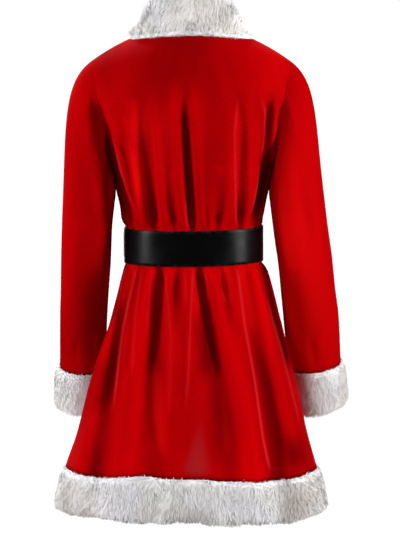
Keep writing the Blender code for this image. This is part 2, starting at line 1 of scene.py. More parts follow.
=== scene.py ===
"""A velvet Santa suit in one piece: a long-sleeved A-line dress with fur trim, and a wide belt.

It stands as it does when worn, with the wearer taken away. Metres, +Z up. The front faces -Y and the
wearer's left is +X. The origin is midway between the two neck points of the shoulder seams.
"""

from collections import namedtuple
from functools import lru_cache, partial

import bmesh
import bpy
import numpy as np
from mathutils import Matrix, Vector


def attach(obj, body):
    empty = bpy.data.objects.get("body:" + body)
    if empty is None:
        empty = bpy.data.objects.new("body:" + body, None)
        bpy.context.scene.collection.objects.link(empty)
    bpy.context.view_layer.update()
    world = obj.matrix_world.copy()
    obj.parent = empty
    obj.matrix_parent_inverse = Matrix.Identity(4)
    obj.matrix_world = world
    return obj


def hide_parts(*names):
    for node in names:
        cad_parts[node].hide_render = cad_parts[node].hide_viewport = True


bl_info = {
    "name": "Santa Suit Dress",
    "version": (1, 0, 0),
    "blender": (4, 5, 0),
    "location": "View3D > Sidebar > Santa Suit",
    "description": "Builds a worn velvet Santa suit with fur trim and a belt, piece by piece",
    "category": "Object",
}

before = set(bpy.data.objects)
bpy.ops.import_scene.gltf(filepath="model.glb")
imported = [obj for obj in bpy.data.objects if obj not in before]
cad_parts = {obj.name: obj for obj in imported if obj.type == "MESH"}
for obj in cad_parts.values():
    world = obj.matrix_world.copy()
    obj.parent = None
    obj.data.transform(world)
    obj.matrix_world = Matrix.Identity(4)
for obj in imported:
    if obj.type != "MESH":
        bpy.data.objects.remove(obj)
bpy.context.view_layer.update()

# ---------------------------------------------------------------- driving dimensions

LEFT, RIGHT = 1, -1  # the wearer's, as the sign of x
BACK, FRONT = 1, -1  # as the sign of y

CLOTH = 0.002  # thickness of a velvet wall
SEAM = 0.0002  # gap between two pieces at a seam, on the outer face
SHOULDER_SEAM = 0.0004  # gap there
HEM_SEAM = 0.0010  # gap there, wider because the skirt slopes
ARMHOLE_SEAM = -0.0004  # gap there: a sleeve's edge tucks under the panel's

UNDERARM_Z = -0.235
SHOULDER_HALF = 0.188  # centre line to shoulder tip
NECK_HALF = 0.116  # centre line to the neck point of the shoulder seam
RIDGE_TOP = 0.026  # height that the shoulder ridge would reach on the centre line
RIDGE_FALL = 1.93  # the ridge falls by this times x squared
ARCH = 0.110  # height over which a panel rounds over the ridge
BACK_NECK_Y = 0.055  # centre back of the neckline, behind the neck points
HEM_Z = -0.812  # where the velvet ends and the fur begins

BELT_Z = -0.389
BELT_WIDTH = 0.067
BELT_TILT = -0.014  # the belt sits a little higher on the wearer's right
BELT_THICK = 0.0022
BELT_OFF = 0.0013  # between the cloth under the belt and the belt
BELT_CORNER = 0.0006  # radius of the strap's edges
BELT_WAVE = 0.0004  # how far its outer face waves in and out
# The waves along the strap: their share, how fast they turn along it and across it, and where they start.
BELT_WAVES = ((0.6, 47, 0, 1.3), (0.4, 83, -40, 0))
TIP_LENGTH, TIP_ROUND = 0.020, 0.5  # the strap's loose end narrows over this length, by this share

# The body of the dress, level by level: its half width, its depths behind and before the side seams, and
# the place of its middle.
Section = namedtuple("Section", "z half_width back_depth front_depth middle_x middle_y")
SECTIONS = (
    Section(0.060, 0.205, 0.100, 0.100, 0.000, 0.000),
    Section(-0.040, 0.205, 0.106, 0.104, 0.000, 0.000),
    Section(-0.100, 0.203, 0.109, 0.110, 0.000, 0.000),
    Section(-0.170, 0.186, 0.109, 0.122, -0.001, 0.000),
    Section(-0.235, 0.157, 0.106, 0.127, -0.002, 0.000),
    Section(-0.282, 0.1455, 0.100, 0.120, -0.0025, -0.001),
    Section(-0.320, 0.1370, 0.093, 0.109, -0.003, -0.003),
    Section(-0.337, 0.1345, 0.0905, 0.1035, -0.002, -0.004),
    Section(-0.348, 0.1322, 0.0897, 0.1012, -0.003, -0.0045),
    Section(-0.356, 0.1284, 0.089, 0.100, -0.005, -0.005),
    Section(-0.422, 0.1284, 0.089, 0.100, -0.005, -0.005),
    Section(-0.430, 0.1330, 0.092, 0.101, -0.0070, -0.004),
    Section(-0.444, 0.1385, 0.097, 0.104, -0.0085, -0.003),
    Section(-0.482, 0.1485, 0.106, 0.108, -0.009, 0.000),
    Section(-0.542, 0.1640, 0.117, 0.116, -0.0085, 0.003),
    Section(-0.602, 0.182, 0.127, 0.124, -0.005, 0.006),
    Section(-0.662, 0.1985, 0.136, 0.131, -0.0035, 0.008),
    Section(-0.752, 0.2200, 0.149, 0.141, -0.0020, 0.010),
    Section(-0.812, 0.239, 0.158, 0.148, 0.000, 0.012),
    Section(-0.890, 0.259, 0.168, 0.157, 0.000, 0.013),
)

DEPTH = {BACK: "back_depth", FRONT: "front_depth"}

# The armhole's distance from the centre line, and the front neckline, by height.
EdgeRow = namedtuple("EdgeRow", "z x")
ARMHOLE = (
    EdgeRow(-0.235, 0.157),
    EdgeRow(-0.200, 0.163),
    EdgeRow(-0.150, 0.170),
    EdgeRow(-0.100, 0.176),
    EdgeRow(-0.042, 0.188),
)
NeckRow = namedtuple("NeckRow", "x z")
FRONT_NECK = (
    NeckRow(0.000, -0.170),
    NeckRow(0.028, -0.145),
    NeckRow(0.058, -0.115),
    NeckRow(0.088, -0.078),
    NeckRow(0.107, -0.040),
    NeckRow(0.116, 0.000),
)

# Each fold is a soft valley between two ridges, and it starts at the belt. x is measured across the panel
# from the centre line, depth is how far the valley goes in, and width is from its middle to where a ridge
# begins.
Fold = namedtuple("Fold", "x_belt depth_belt width_belt x_end z_end depth_end width_end")
BACK_FOLDS = (
    Fold(-0.004, 0.014, 0.010, 0.016, -0.065, 0.000, 0.012),
    Fold(0.062, 0.012, 0.010, 0.095, -0.090, 0.000, 0.014),
    Fold(0.102, 0.012, 0.011, 0.166, -0.140, 0.000, 0.014),
    Fold(-0.092, 0.010, 0.009, -0.094, -0.085, 0.000, 0.011),
    Fold(-0.121, 0.012, 0.010, -0.150, -0.090, 0.000, 0.013),
    Fold(0.028, 0.007, 0.009, 0.036, -0.230, 0.000, 0.010),
    Fold(-0.047, 0.008, 0.009, -0.056, -0.220, 0.000, 0.011),
    Fold(0.112, 0.009, 0.010, 0.178, -0.812, 0.009, 0.030),
    Fold(0.055, 0.013, 0.010, 0.076, -0.812, 0.006, 0.034),
    Fold(0.022, 0.006, 0.008, 0.034, -0.560, 0.000, 0.014),
    Fold(-0.010, 0.013, 0.010, -0.078, -0.812, 0.007, 0.034),
    Fold(-0.048, 0.006, 0.009, -0.072, -0.540, 0.000, 0.014),
    Fold(-0.098, 0.006, 0.010, -0.158, -0.812, 0.013, 0.036),
)
FRONT_FOLDS = (
    Fold(0.010, 0.010, 0.010, 0.004, -0.235, 0.000, 0.012),
    Fold(0.050, 0.012, 0.010, 0.072, -0.150, 0.000, 0.013),
    Fold(0.094, 0.011, 0.010, 0.134, -0.130, 0.000, 0.013),
    Fold(-0.034, 0.009, 0.010, -0.040, -0.205, 0.000, 0.012),
    Fold(-0.076, 0.012, 0.010, -0.102, -0.130, 0.000, 0.013),
    Fold(-0.112, 0.010, 0.010, -0.146, -0.140, 0.000, 0.013),
    Fold(0.106, 0.009, 0.010, 0.166, -0.812, 0.014, 0.028),
    Fold(0.066, 0.012, 0.010, 0.094, -0.812, 0.011, 0.032),
    Fold(0.024, 0.009, 0.009, 0.020, -0.812, 0.007, 0.032),
    Fold(-0.014, 0.008, 0.009, -0.026, -0.600, 0.000, 0.016),
    Fold(-0.052, 0.012, 0.010, -0.072, -0.812, 0.013, 0.032),
    Fold(-0.102, 0.010, 0.010, -0.158, -0.812, 0.015, 0.030),
)
FOLDS = {BACK: BACK_FOLDS, FRONT: FRONT_FOLDS}
FOLD_EDGE = 0.035  # folds die out this near a side seam
FOLD_RETURN = 0.040  # and this far on past the belt
UNDER_BELT = 0.45  # share of a valley's depth that the belt leaves
BELT_REACH = 0.030  # the belt still flattens the ridges this far above and below it

# The sleeves below the cap: outer and inner edge seen from behind, the place of the middle, and how each
# level slopes from front to back and from the inside out.
Sleeve = namedtuple("Sleeve", "z outer inner middle_y half_depth slope_y slope_x")
SLEEVE_LEFT = (
    Sleeve(-0.300, 0.2425, 0.1430, 0.000, 0.060, 0.00, 0.00),
    Sleeve(-0.360, 0.2450, 0.1495, -0.006, 0.058, -0.04, 0.00),
    Sleeve(-0.420, 0.2470, 0.1520, -0.020, 0.056, -0.10, 0.00),
    Sleeve(-0.480, 0.2485, 0.1565, -0.040, 0.054, -0.15, 0.01),
    Sleeve(-0.540, 0.2508, 0.1605, -0.063, 0.052, -0.18, 0.02),
    Sleeve(-0.638, 0.2525, 0.1640, -0.106, 0.047, -0.24, 0.02),
)
SLEEVE_RIGHT = (
    Sleeve(-0.300, 0.2520, 0.1480, 0.000, 0.061, 0.00, 0.04),
    Sleeve(-0.360, 0.2595, 0.1560, -0.006, 0.059, -0.04, 0.06),
    Sleeve(-0.420, 0.2680, 0.1640, -0.020, 0.057, -0.10, 0.08),
    Sleeve(-0.480, 0.2745, 0.1710, -0.040, 0.055, -0.15, 0.10),
    Sleeve(-0.540, 0.2825, 0.1770, -0.063, 0.053, -0.18, 0.10),
    Sleeve(-0.633, 0.2880, 0.1860, -0.104, 0.048, -0.24, 0.10),
)
SLEEVES = {LEFT: SLEEVE_LEFT, RIGHT: SLEEVE_RIGHT}
CAP_TOP = (0.81, 0.0, -0.587)  # how the sleeve leaves the shoulder tip, in line with the ridge
CAP_LOW = (-0.42, 0.0, -1.0)  # and how it leaves the underarm
CAP_TURN = 0.8  # below 1, the top's direction reaches further down
CAP_SWELL = 0.35  # how far it swells behind and before the armhole
CAP_HANDLES = (0.030, 0.034)  # reach of that direction at the underarm, and what the shoulder adds
SLEEVE_HANDLES = (0.020, 0.130)  # the same for the sleeve's own direction at the end of the cap
CAP_STEP = 0.02  # height over which that direction is taken

CUFF_LENGTH = 0.084
CUFF_RUN = (0.004, -0.300, -1.0)  # the way that the cuff runs on from the sleeve, out, back and up
CUFF_SPREAD = 0.8  # how much of its sleeve's outward slope the cuff follows
CUFF_PROUD = 0.011  # how far the pile stands outside the sleeve
CUFF_WALL = 0.014
HEM_PROUD = 0.009
HEM_WALL = 0.016
HEM_END_Z = -0.892
HEM_TUCK = 0.004  # how far its lower edge turns in
# Round the skirt: how far the velvet's lower edge drops below HEM_Z, and how far above HEM_END_Z the fur's
# ground ends, since its pile hangs past it. across is the cosine of the angle, 1 at the wearer's left.
HemRow = namedtuple("HemRow", "across drop rise")
HEM_BACK = (
    HemRow(-1.00, 0.0030, 0.0070),
    HemRow(-0.85, 0.0060, 0.0030),
    HemRow(-0.70, 0.0105, -0.0020),
    HemRow(-0.55, 0.0105, 0.0010),
    HemRow(-0.40, 0.0070, 0.0045),
    HemRow(-0.25, 0.0050, 0.0035),
    HemRow(-0.08, 0.0000, 0.0070),
    HemRow(0.05, 0.0000, 0.0095),
    HemRow(0.20, 0.0000, 0.0050),
    HemRow(0.37, -0.0030, 0.0045),
    HemRow(0.57, 0.0010, 0.0080),
    HemRow(0.72, 0.0065, 0.0080),
    HemRow(1.00, 0.0000, 0.0090),
)
HEM_FRONT = (
    HemRow(-1.00, 0.0030, 0.0070),
    HemRow(-0.60, -0.0020, 0.0085),
    HemRow(-0.20, 0.0040, 0.0050),
    HemRow(0.25, 0.0000, 0.0080),
    HemRow(0.60, 0.0050, 0.0060),
    HemRow(1.00, 0.0000, 0.0090),
)
HEM_ROWS = {BACK: HEM_BACK, FRONT: HEM_FRONT}
SEAM_REACH = 0.10  # the rows of the skirt follow that drop over this height
# How far above its cuff's end the fur's ground ends, next to the body and on the outer side.
CUFF_RISE = {LEFT: (0.0100, 0.0105), RIGHT: (0.0005, 0.0090)}

# Down the outer face of a fur tube: share of its length, and share of how far its pile stands out.
PileRow = namedtuple("PileRow", "down out")
PILE = (
    PileRow(0.00, 0.10),
    PileRow(0.04, 0.62),
    PileRow(0.22, 1.00),
    PileRow(0.55, 1.08),
    PileRow(0.86, 1.05),
    PileRow(0.97, 0.70),
    PileRow(1.00, 0.12),
)

# The fur collar's left half from centre back to centre front: the share of the neckline that lies behind
# its foot, the way that it stands, its height and thickness, and how far its middle lies inside the
# neckline.
Collar = namedtuple("Collar", "along lean_x lean_y lean_z height thick inset")
COLLAR = (
    Collar(0.00, 0.00, -0.26, 0.97, 0.086, 0.024, 0.011),
    Collar(0.20, -0.24, -0.22, 0.94, 0.086, 0.024, 0.011),
    Collar(0.38, -0.56, -0.08, 0.84, 0.089, 0.024, 0.009),
    Collar(0.54, -0.60, -0.16, 0.82, 0.088, 0.024, 0.006),
    Collar(0.70, -0.54, -0.22, 0.83, 0.080, 0.024, -0.001),
    Collar(0.85, -0.36, -0.20, 0.91, 0.072, 0.024, -0.006),
    Collar(1.00, 0.00, -0.10, 0.99, 0.070, 0.024, -0.007),
)
COLLAR_LIFT = 0.0011  # the foot stays this far off the cloth's edge
FULLNESS = 0.8  # 1 makes the collar's sections oval, and less makes them squarer
COLLAR_TURN = 0.3  # share of its height over which the collar moves in to its inset

BUCKLE_WIDTH, BUCKLE_HEIGHT, BUCKLE_THICK = 0.074, 0.082, 0.0026
BUCKLE_LIFT = 0.0022  # of its bar off the cloth, to pass the gathers above and below the belt
BUCKLE_SIDE, BUCKLE_RAIL, BUCKLE_BAR = 0.009, 0.007, 0.006  # widths of its sides, top and bottom, and bar
STRAP_GAP = 0.0004  # between the strap and what it passes
STRAP_START, STRAP_TIP = 0.052, 0.165  # ends of the strap, both on the wearer's left of the centre front

OVER_BAR = BUCKLE_LIFT + BUCKLE_THICK + STRAP_GAP  # how far the strap's inner face lies off the waist there
OVER_START = BELT_THICK + STRAP_GAP  # and where it lies over its own start
START_RAMP = 0.004  # the strap has risen this far before its start
StrapRow = namedtuple("StrapRow", "run off")

# ---------------------------------------------------------------- creases finer than the main folds

# A crease runs up a panel through points (x, z) from its lower to its upper end. Its height is how far it
# moves the cloth out, or in below 0. Its width is from its middle to where it has mostly gone, and it dies
# out over fade towards each end.
Crease = namedtuple("Crease", "path height width fade")
BACK_CREASES = (
    Crease(((0.136, -0.285), (0.145, -0.233), (0.164, -0.167), (0.176, -0.105)), -0.0085, 0.0090, 0.030),
    Crease(((0.122, -0.338), (0.130, -0.290), (0.140, -0.240)), -0.0070, 0.0090, 0.030),
    Crease(((0.126, -0.268), (0.140, -0.225), (0.156, -0.185)), 0.0032, 0.0038, 0.020),
    Crease(((0.104, -0.322), (0.126, -0.262), (0.145, -0.195), (0.154, -0.165)), 0.0040, 0.0042, 0.030),
    Crease(((0.103, -0.335), (0.110, -0.285), (0.120, -0.235), (0.134, -0.175)), -0.0070, 0.0065, 0.035),
    Crease(((0.087, -0.338), (0.097, -0.258), (0.110, -0.180), (0.128, -0.124)), 0.0058, 0.0080, 0.050),
    Crease(((0.066, -0.325), (0.076, -0.240), (0.090, -0.120)), 0.0030, 0.0085, 0.050),
    Crease(((0.055, -0.338), (0.061, -0.240), (0.067, -0.140)), 0.0034, 0.0065, 0.060),
    Crease(((0.029, -0.334), (0.035, -0.235)), 0.0054, 0.0085, 0.020),
    Crease(((-0.048, -0.334), (-0.056, -0.225)), 0.0058, 0.0085, 0.020),
    Crease(((0.008, -0.338), (0.011, -0.290)), 0.0030, 0.0050, 0.020),
    Crease(((0.018, -0.338), (0.024, -0.300)), -0.0030, 0.0045, 0.018),
    Crease(((-0.030, -0.338), (-0.026, -0.302)), -0.0026, 0.0045, 0.018),
    Crease(((-0.084, -0.338), (-0.081, -0.175), (-0.088, -0.101)), 0.0042, 0.0042, 0.040),
    Crease(((-0.094, -0.325), (-0.095, -0.175), (-0.098, -0.090)), 0.0026, 0.0085, 0.050),
    Crease(
        ((-0.113, -0.330), (-0.128, -0.257), (-0.138, -0.180), (-0.139, -0.130), (-0.127, -0.100)),
        0.0040, 0.0048, 0.035,
    ),
    Crease(
        ((-0.116, -0.338), (-0.126, -0.297), (-0.141, -0.245), (-0.147, -0.200), (-0.149, -0.105)),
        -0.0085, 0.0080, 0.030,
    ),
    Crease(
        ((-0.128, -0.325), (-0.138, -0.270), (-0.148, -0.225), (-0.164, -0.167), (-0.176, -0.105)),
        -0.0065, 0.0080, 0.030,
    ),
    Crease(((-0.150, -0.215), (-0.158, -0.185), (-0.166, -0.150)), 0.0026, 0.0040, 0.020),
    Crease(
        (
            (0.147, -0.700), (0.141, -0.650), (0.135, -0.590),
            (0.129, -0.545), (0.117, -0.488), (0.102, -0.432),
        ),
        0.0048, 0.0045, 0.060,
    ),
    Crease(
        (
            (0.168, -0.735), (0.163, -0.690), (0.154, -0.636),
            (0.141, -0.556), (0.127, -0.490), (0.114, -0.432),
        ),
        -0.0085, 0.0105, 0.080,
    ),
    Crease(((0.124, -0.640), (0.115, -0.560), (0.111, -0.500), (0.099, -0.432)), -0.0042, 0.0050, 0.040),
    Crease(
        ((0.112, -0.640), (0.105, -0.541), (0.104, -0.515), (0.097, -0.463), (0.092, -0.432)),
        0.0030, 0.0042, 0.035,
    ),
    Crease(((0.084, -0.560), (0.079, -0.490), (0.074, -0.432)), 0.0030, 0.0045, 0.035),
    Crease(
        ((0.078, -0.636), (0.070, -0.582), (0.064, -0.528), (0.059, -0.476), (0.054, -0.432)),
        -0.0050, 0.0080, 0.060,
    ),
    Crease(((0.052, -0.800), (0.062, -0.744), (0.070, -0.690)), -0.0040, 0.0100, 0.050),
    Crease(
        ((0.040, -0.700), (0.038, -0.600), (0.038, -0.550), (0.044, -0.476), (0.052, -0.432)),
        0.0028, 0.0050, 0.050,
    ),
    Crease(((0.011, -0.500), (0.009, -0.470), (0.012, -0.432)), 0.0028, 0.0040, 0.025),
    Crease(
        ((0.012, -0.700), (0.012, -0.690), (0.006, -0.636), (0.001, -0.528), (-0.003, -0.432)),
        0.0036, 0.0052, 0.070,
    ),
    Crease(
        ((-0.052, -0.628), (-0.041, -0.570), (-0.030, -0.543), (-0.014, -0.463), (-0.010, -0.432)),
        -0.0046, 0.0080, 0.055,
    ),
    Crease(((-0.034, -0.500), (-0.028, -0.432)), 0.0028, 0.0050, 0.025),
    Crease(((-0.066, -0.490), (-0.060, -0.432)), -0.0036, 0.0050, 0.025),
    Crease(((-0.074, -0.500), (-0.070, -0.432)), 0.0028, 0.0042, 0.025),
    Crease(
        ((-0.150, -0.810), (-0.135, -0.742), (-0.120, -0.636), (-0.100, -0.528), (-0.088, -0.432)),
        0.0052, 0.0048, 0.030,
    ),
    Crease(((-0.178, -0.793), (-0.162, -0.727), (-0.142, -0.640), (-0.131, -0.570)), -0.0070, 0.0140, 0.080),
    Crease(
        (
            (-0.208, -0.740), (-0.200, -0.700), (-0.184, -0.636),
            (-0.170, -0.582), (-0.154, -0.528), (-0.141, -0.476),
        ),
        0.0034, 0.0060, 0.050,
    ),
    Crease(((-0.166, -0.560), (-0.150, -0.500), (-0.134, -0.445)), -0.0060, 0.0080, 0.040),
)
FRONT_CREASES = (
    Crease(((0.138, -0.290), (0.146, -0.232), (0.165, -0.165), (0.176, -0.100)), -0.0056, 0.0075, 0.030),
    Crease(((0.120, -0.250), (0.130, -0.205), (0.146, -0.150)), 0.0036, 0.0055, 0.025),
    Crease(((0.078, -0.338), (0.088, -0.255), (0.106, -0.175)), 0.0040, 0.0070, 0.045),
    Crease(((0.066, -0.338), (0.072, -0.270), (0.082, -0.215)), -0.0034, 0.0055, 0.035),
    Crease(((0.028, -0.338), (0.026, -0.285)), 0.0030, 0.0050, 0.022),
    Crease(((-0.012, -0.338), (-0.010, -0.290)), -0.0028, 0.0050, 0.020),
    Crease(((-0.056, -0.338), (-0.060, -0.260), (-0.066, -0.190)), 0.0038, 0.0060, 0.045),
    Crease(((-0.094, -0.330), (-0.104, -0.262), (-0.122, -0.190)), -0.0040, 0.0060, 0.040),
    Crease(((-0.138, -0.290), (-0.146, -0.232), (-0.165, -0.165), (-0.176, -0.100)), -0.0056, 0.0075, 0.030),
    Crease(((-0.122, -0.245), (-0.132, -0.200), (-0.150, -0.150)), 0.0034, 0.0050, 0.025),
    Crease(((0.150, -0.760), (0.134, -0.600), (0.108, -0.432)), 0.0044, 0.0070, 0.050),
    Crease(((0.082, -0.700), (0.076, -0.560), (0.060, -0.432)), -0.0044, 0.0075, 0.055),
    Crease(((0.044, -0.620), (0.042, -0.520), (0.038, -0.432)), 0.0040, 0.0060, 0.040),
    Crease(((-0.008, -0.680), (-0.006, -0.540), (-0.002, -0.432)), 0.0042, 0.0065, 0.050),
    Crease(((-0.046, -0.560), (-0.042, -0.490), (-0.034, -0.432)), -0.0036, 0.0060, 0.035),
    Crease(((-0.120, -0.740), (-0.104, -0.590), (-0.082, -0.432)), 0.0046, 0.0065, 0.050),
    Crease(((-0.168, -0.700), (-0.150, -0.580), (-0.120, -0.450)), -0.0044, 0.0080, 0.050),
    Crease(((0.084, -0.490), (0.080, -0.432)), 0.0028, 0.0050, 0.022),
    Crease(((-0.062, -0.486), (-0.060, -0.432)), 0.0026, 0.0050, 0.020),
)
CREASES = {BACK: BACK_CREASES, FRONT: FRONT_CREASES}
GATHER_REACH = 0.009  # a crease has its full height this far past the belt's edge
ABOVE_BELT, BELOW_BELT = -0.338, -0.432  # a crease that ends at one of these goes on under the belt

# Strokes of the same form paint light and shade on the velvet. Where height is over 0 they paint a highlight,
# and below 0 they paint shade.
BACK_SHADING_STROKES = (
    Crease(((0.024, -0.130), (0.020, 0.080)), -0.42, 0.075, 0.080),
    Crease(((0.095, -0.325), (0.100, -0.090)), 0.45, 0.016, 0.060),
    Crease(((0.046, -0.320), (0.048, -0.100)), 0.16, 0.018, 0.060),
    Crease(((0.160, -0.120), (0.160, 0.020)), -0.20, 0.030, 0.050),
    Crease(((-0.150, -0.130), (-0.150, 0.020)), 0.16, 0.030, 0.050),
    Crease(((-0.040, -0.640), (-0.022, -0.520)), -0.28, 0.013, 0.050),
    Crease(((-0.030, -0.800), (-0.010, -0.560)), -0.12, 0.120, 0.080),
    Crease(((0.166, -0.715), (0.159, -0.680), (0.145, -0.605), (0.134, -0.535)), -0.50, 0.0100, 0.050),
    Crease(((-0.202, -0.830), (-0.188, -0.725)), -0.60, 0.0240, 0.050),
    Crease(((-0.056, -0.800), (-0.046, -0.630)), -0.14, 0.0240, 0.060),
    Crease(((-0.010, -0.325), (-0.004, -0.090)), -0.10, 0.022, 0.060),
    Crease(
        ((0.127, -0.345), (0.136, -0.290), (0.145, -0.240), (0.157, -0.190), (0.168, -0.140)),
        -0.75, 0.0080, 0.040,
    ),
    Crease(((-0.127, -0.345), (-0.138, -0.290), (-0.147, -0.240), (-0.154, -0.205)), -0.50, 0.0100, 0.040),
    Crease(((-0.121, -0.338), (-0.143, -0.240), (-0.149, -0.110)), -0.35, 0.0070, 0.040),
    Crease(((0.014, -0.150), (0.018, -0.055)), 0.35, 0.0080, 0.050),
    Crease(((0.087, -0.325), (0.097, -0.250), (0.108, -0.185)), 0.30, 0.0100, 0.040),
    Crease(((-0.091, -0.330), (-0.092, -0.110)), 0.30, 0.0090, 0.050),
    Crease(
        ((-0.190, -0.640), (-0.177, -0.585), (-0.160, -0.525), (-0.146, -0.465), (-0.138, -0.432)),
        -0.90, 0.0085, 0.050,
    ),
    Crease(((0.152, -0.545), (0.133, -0.455), (0.127, -0.432)), -0.60, 0.0050, 0.040),
    Crease(((0.186, -0.720), (0.170, -0.640), (0.156, -0.580)), -0.35, 0.0130, 0.050),
    Crease(((0.060, -0.790), (0.070, -0.590)), 0.40, 0.0160, 0.050),
    Crease(((0.136, -0.525), (0.114, -0.432)), 0.30, 0.0090, 0.050),
    Crease(((-0.018, -0.520), (-0.008, -0.432)), 0.25, 0.0070, 0.040),
    Crease(((-0.067, -0.500), (-0.060, -0.432)), 0.50, 0.0060, 0.030),
    Crease(((-0.124, -0.570), (-0.100, -0.432)), 0.28, 0.0120, 0.060),
    Crease(((-0.026, -0.650), (-0.021, -0.574), (-0.008, -0.490)), -0.40, 0.0130, 0.050),
    Crease(((-0.070, -0.790), (-0.060, -0.666), (-0.050, -0.590)), 0.34, 0.0120, 0.050),
    Crease(((-0.174, -0.800), (-0.158, -0.690)), -0.22, 0.0200, 0.060),
)
FRONT_SHADING_STROKES = (
    Crease(((0.130, -0.338), (0.146, -0.240), (0.160, -0.180)), -0.60, 0.0080, 0.040),
    Crease(((-0.132, -0.338), (-0.148, -0.240), (-0.160, -0.180)), -0.60, 0.0080, 0.040),
    Crease(((0.010, -0.325), (0.006, -0.200)), -0.12, 0.030, 0.060),
    Crease(((0.166, -0.600), (0.136, -0.432)), -0.60, 0.0070, 0.050),
    Crease(((-0.172, -0.600), (-0.142, -0.432)), -0.60, 0.0070, 0.050),
    Crease(((0.040, -0.780), (0.036, -0.600)), -0.22, 0.0140, 0.060),
    Crease(((-0.088, -0.780), (-0.080, -0.620)), 0.25, 0.0140, 0.060),
)
SHADING_STROKES = {BACK: BACK_SHADING_STROKES, FRONT: FRONT_SHADING_STROKES}
SEAM_SHADE, SEAM_SHADE_REACH = -0.85, 0.0055  # how dark the painted shadow along the velvet next to the fur is, and how far up it reaches

# Down a sleeve: the angle round it from the side by the body over the back, the height, and how fast the
# angle changes with height; then the crease's height, its width, and its length.
SleeveCrease = namedtuple("SleeveCrease", "turn z lean height width length")
SLEEVE_CREASES = (
    SleeveCrease(1.75, -0.135, 6.0, -0.0055, 0.0100, 0.090),
    SleeveCrease(0.70, -0.275, 2.0, -0.0050, 0.0110, 0.075),
    SleeveCrease(1.25, -0.300, 3.4, 0.0034, 0.0080, 0.070),
    SleeveCrease(2.20, -0.335, -1.0, -0.0024, 0.0120, 0.090),
    SleeveCrease(5.40, -0.320, -3.0, -0.0042, 0.0100, 0.080),
    SleeveCrease(4.60, -0.405, 3.6, 0.0040, 0.0090, 0.060),
    SleeveCrease(4.90, -0.438, 5.0, -0.0044, 0.0085, 0.055),
    SleeveCrease(5.30, -0.470, 4.4, 0.0036, 0.0085, 0.055),
    SleeveCrease(0.55, -0.455, -3.0, -0.0030, 0.0100, 0.070),
    SleeveCrease(0.95, -0.590, 2.6, 0.0024, 0.0070, 0.045),
    SleeveCrease(1.90, -0.600, -1.6, -0.0022, 0.0080, 0.050),
    SleeveCrease(3.90, -0.585, 2.2, -0.0028, 0.0085, 0.060),
)
# Painted shade and highlights in strokes down each sleeve, in the same form as its creases.
SLEEVE_SHADING_STROKES = {
    LEFT: (
        SleeveCrease(1.60, -0.420, 0.0, -0.22, 0.040, 0.420),
        SleeveCrease(0.40, -0.380, 0.0, 0.40, 0.022, 0.400),
    ),
    RIGHT: (SleeveCrease(0.90, -0.420, 0.0, 0.75, 0.060, 0.500),),
}
SLEEVE_TURN = {LEFT: 0.0, RIGHT: 0.35}  # the creases lie this much less far round, so that the two differ
SLEEVE_ROUND = 0.052  # mean radius of a sleeve, which turns angles into lengths
SLEEVE_ENDS = 24.0  # a sleeve's creases fade in over this part of it at each end, one 24th

# ---------------------------------------------------------------- how finely each piece is drawn

SHOULDER_CELLS, NECK_CELLS = 60, 60  # columns of a panel over one shoulder, and over half the neck
UPPER_CELLS = 44  # rows from underarm to shoulder, and half the columns round a sleeve
ROW = 0.0085  # height of a row of the skirt, waist and sleeves
CAP_CELLS = 30  # rows of a sleeve's cap
NECKLINE_STEPS, WAIST_STEPS = 400, 3201  # steps that measure lengths along them
COLLAR_CELLS, COLLAR_ROUND = 48, 36  # sections along half the collar, and points round one
HEM_AROUND, CUFF_AROUND = 300, 88  # columns round the hem, and round a cuff
PILE_STEPS = 14  # rows down the outer face of a cuff or the hem
STRAP_CELLS, STRAP_ACROSS = 230, 13  # sections along the strap, and points up its outer face
WINDOW_CELLS, BUCKLE_CELLS = 12, 9  # columns of the buckle over one window, and rows between its rails

# ---------------------------------------------------------------- how the fur lies

# How the pile lies on one piece of trim. count is how many locks of hair it has, lift how far they stand up
# off the cloth, comb how strongly they lie along it, sway how much they wander sideways and droop how far
# their tips hang. clump_rows and clump_columns are the size of a clump in cells of the loft, gather is how
# far its tips draw together, and seed is what the coat's random draws start from.
Coat = namedtuple(
    "Coat", "count length width lift comb sway droop clump_rows clump_columns gather seed spots"
)
# A piece of trim. comb takes each lock's way down the loft, its row and its column, and gives the way that it
# is combed, shorter where the lock is. length_share takes the locks' places and gives a share of the length.
Trim = namedtuple("Trim", "name node rests_on coat comb length_share")
# A place where the pile's tips are made duller and darker: on the collar and cuff as painted shade, on the
# hem as matted patches and painted shade. size is how far it reaches along x, y and z.
Spot = namedtuple("Spot", "place size share")
# Painted shade that dims the collar's tips.
COLLAR_SHADE_SPOTS_LEFT = (Spot((0.008, 0.090, 0.070), (0.042, 0.080, 0.090), 0.30),)
COLLAR_SHADE_SPOTS_RIGHT = (
    Spot((-0.060, 0.080, 0.050), (0.160, 0.160, 0.120), 0.38),
    Spot((-0.018, 0.090, 0.080), (0.034, 0.080, 0.060), 0.26),
)
# Painted shade that dims the right cuff's tips.
CUFF_SHADE_SPOTS = (Spot((-0.290, -0.110, -0.680), (0.040, 0.080, 0.060), 0.40),)
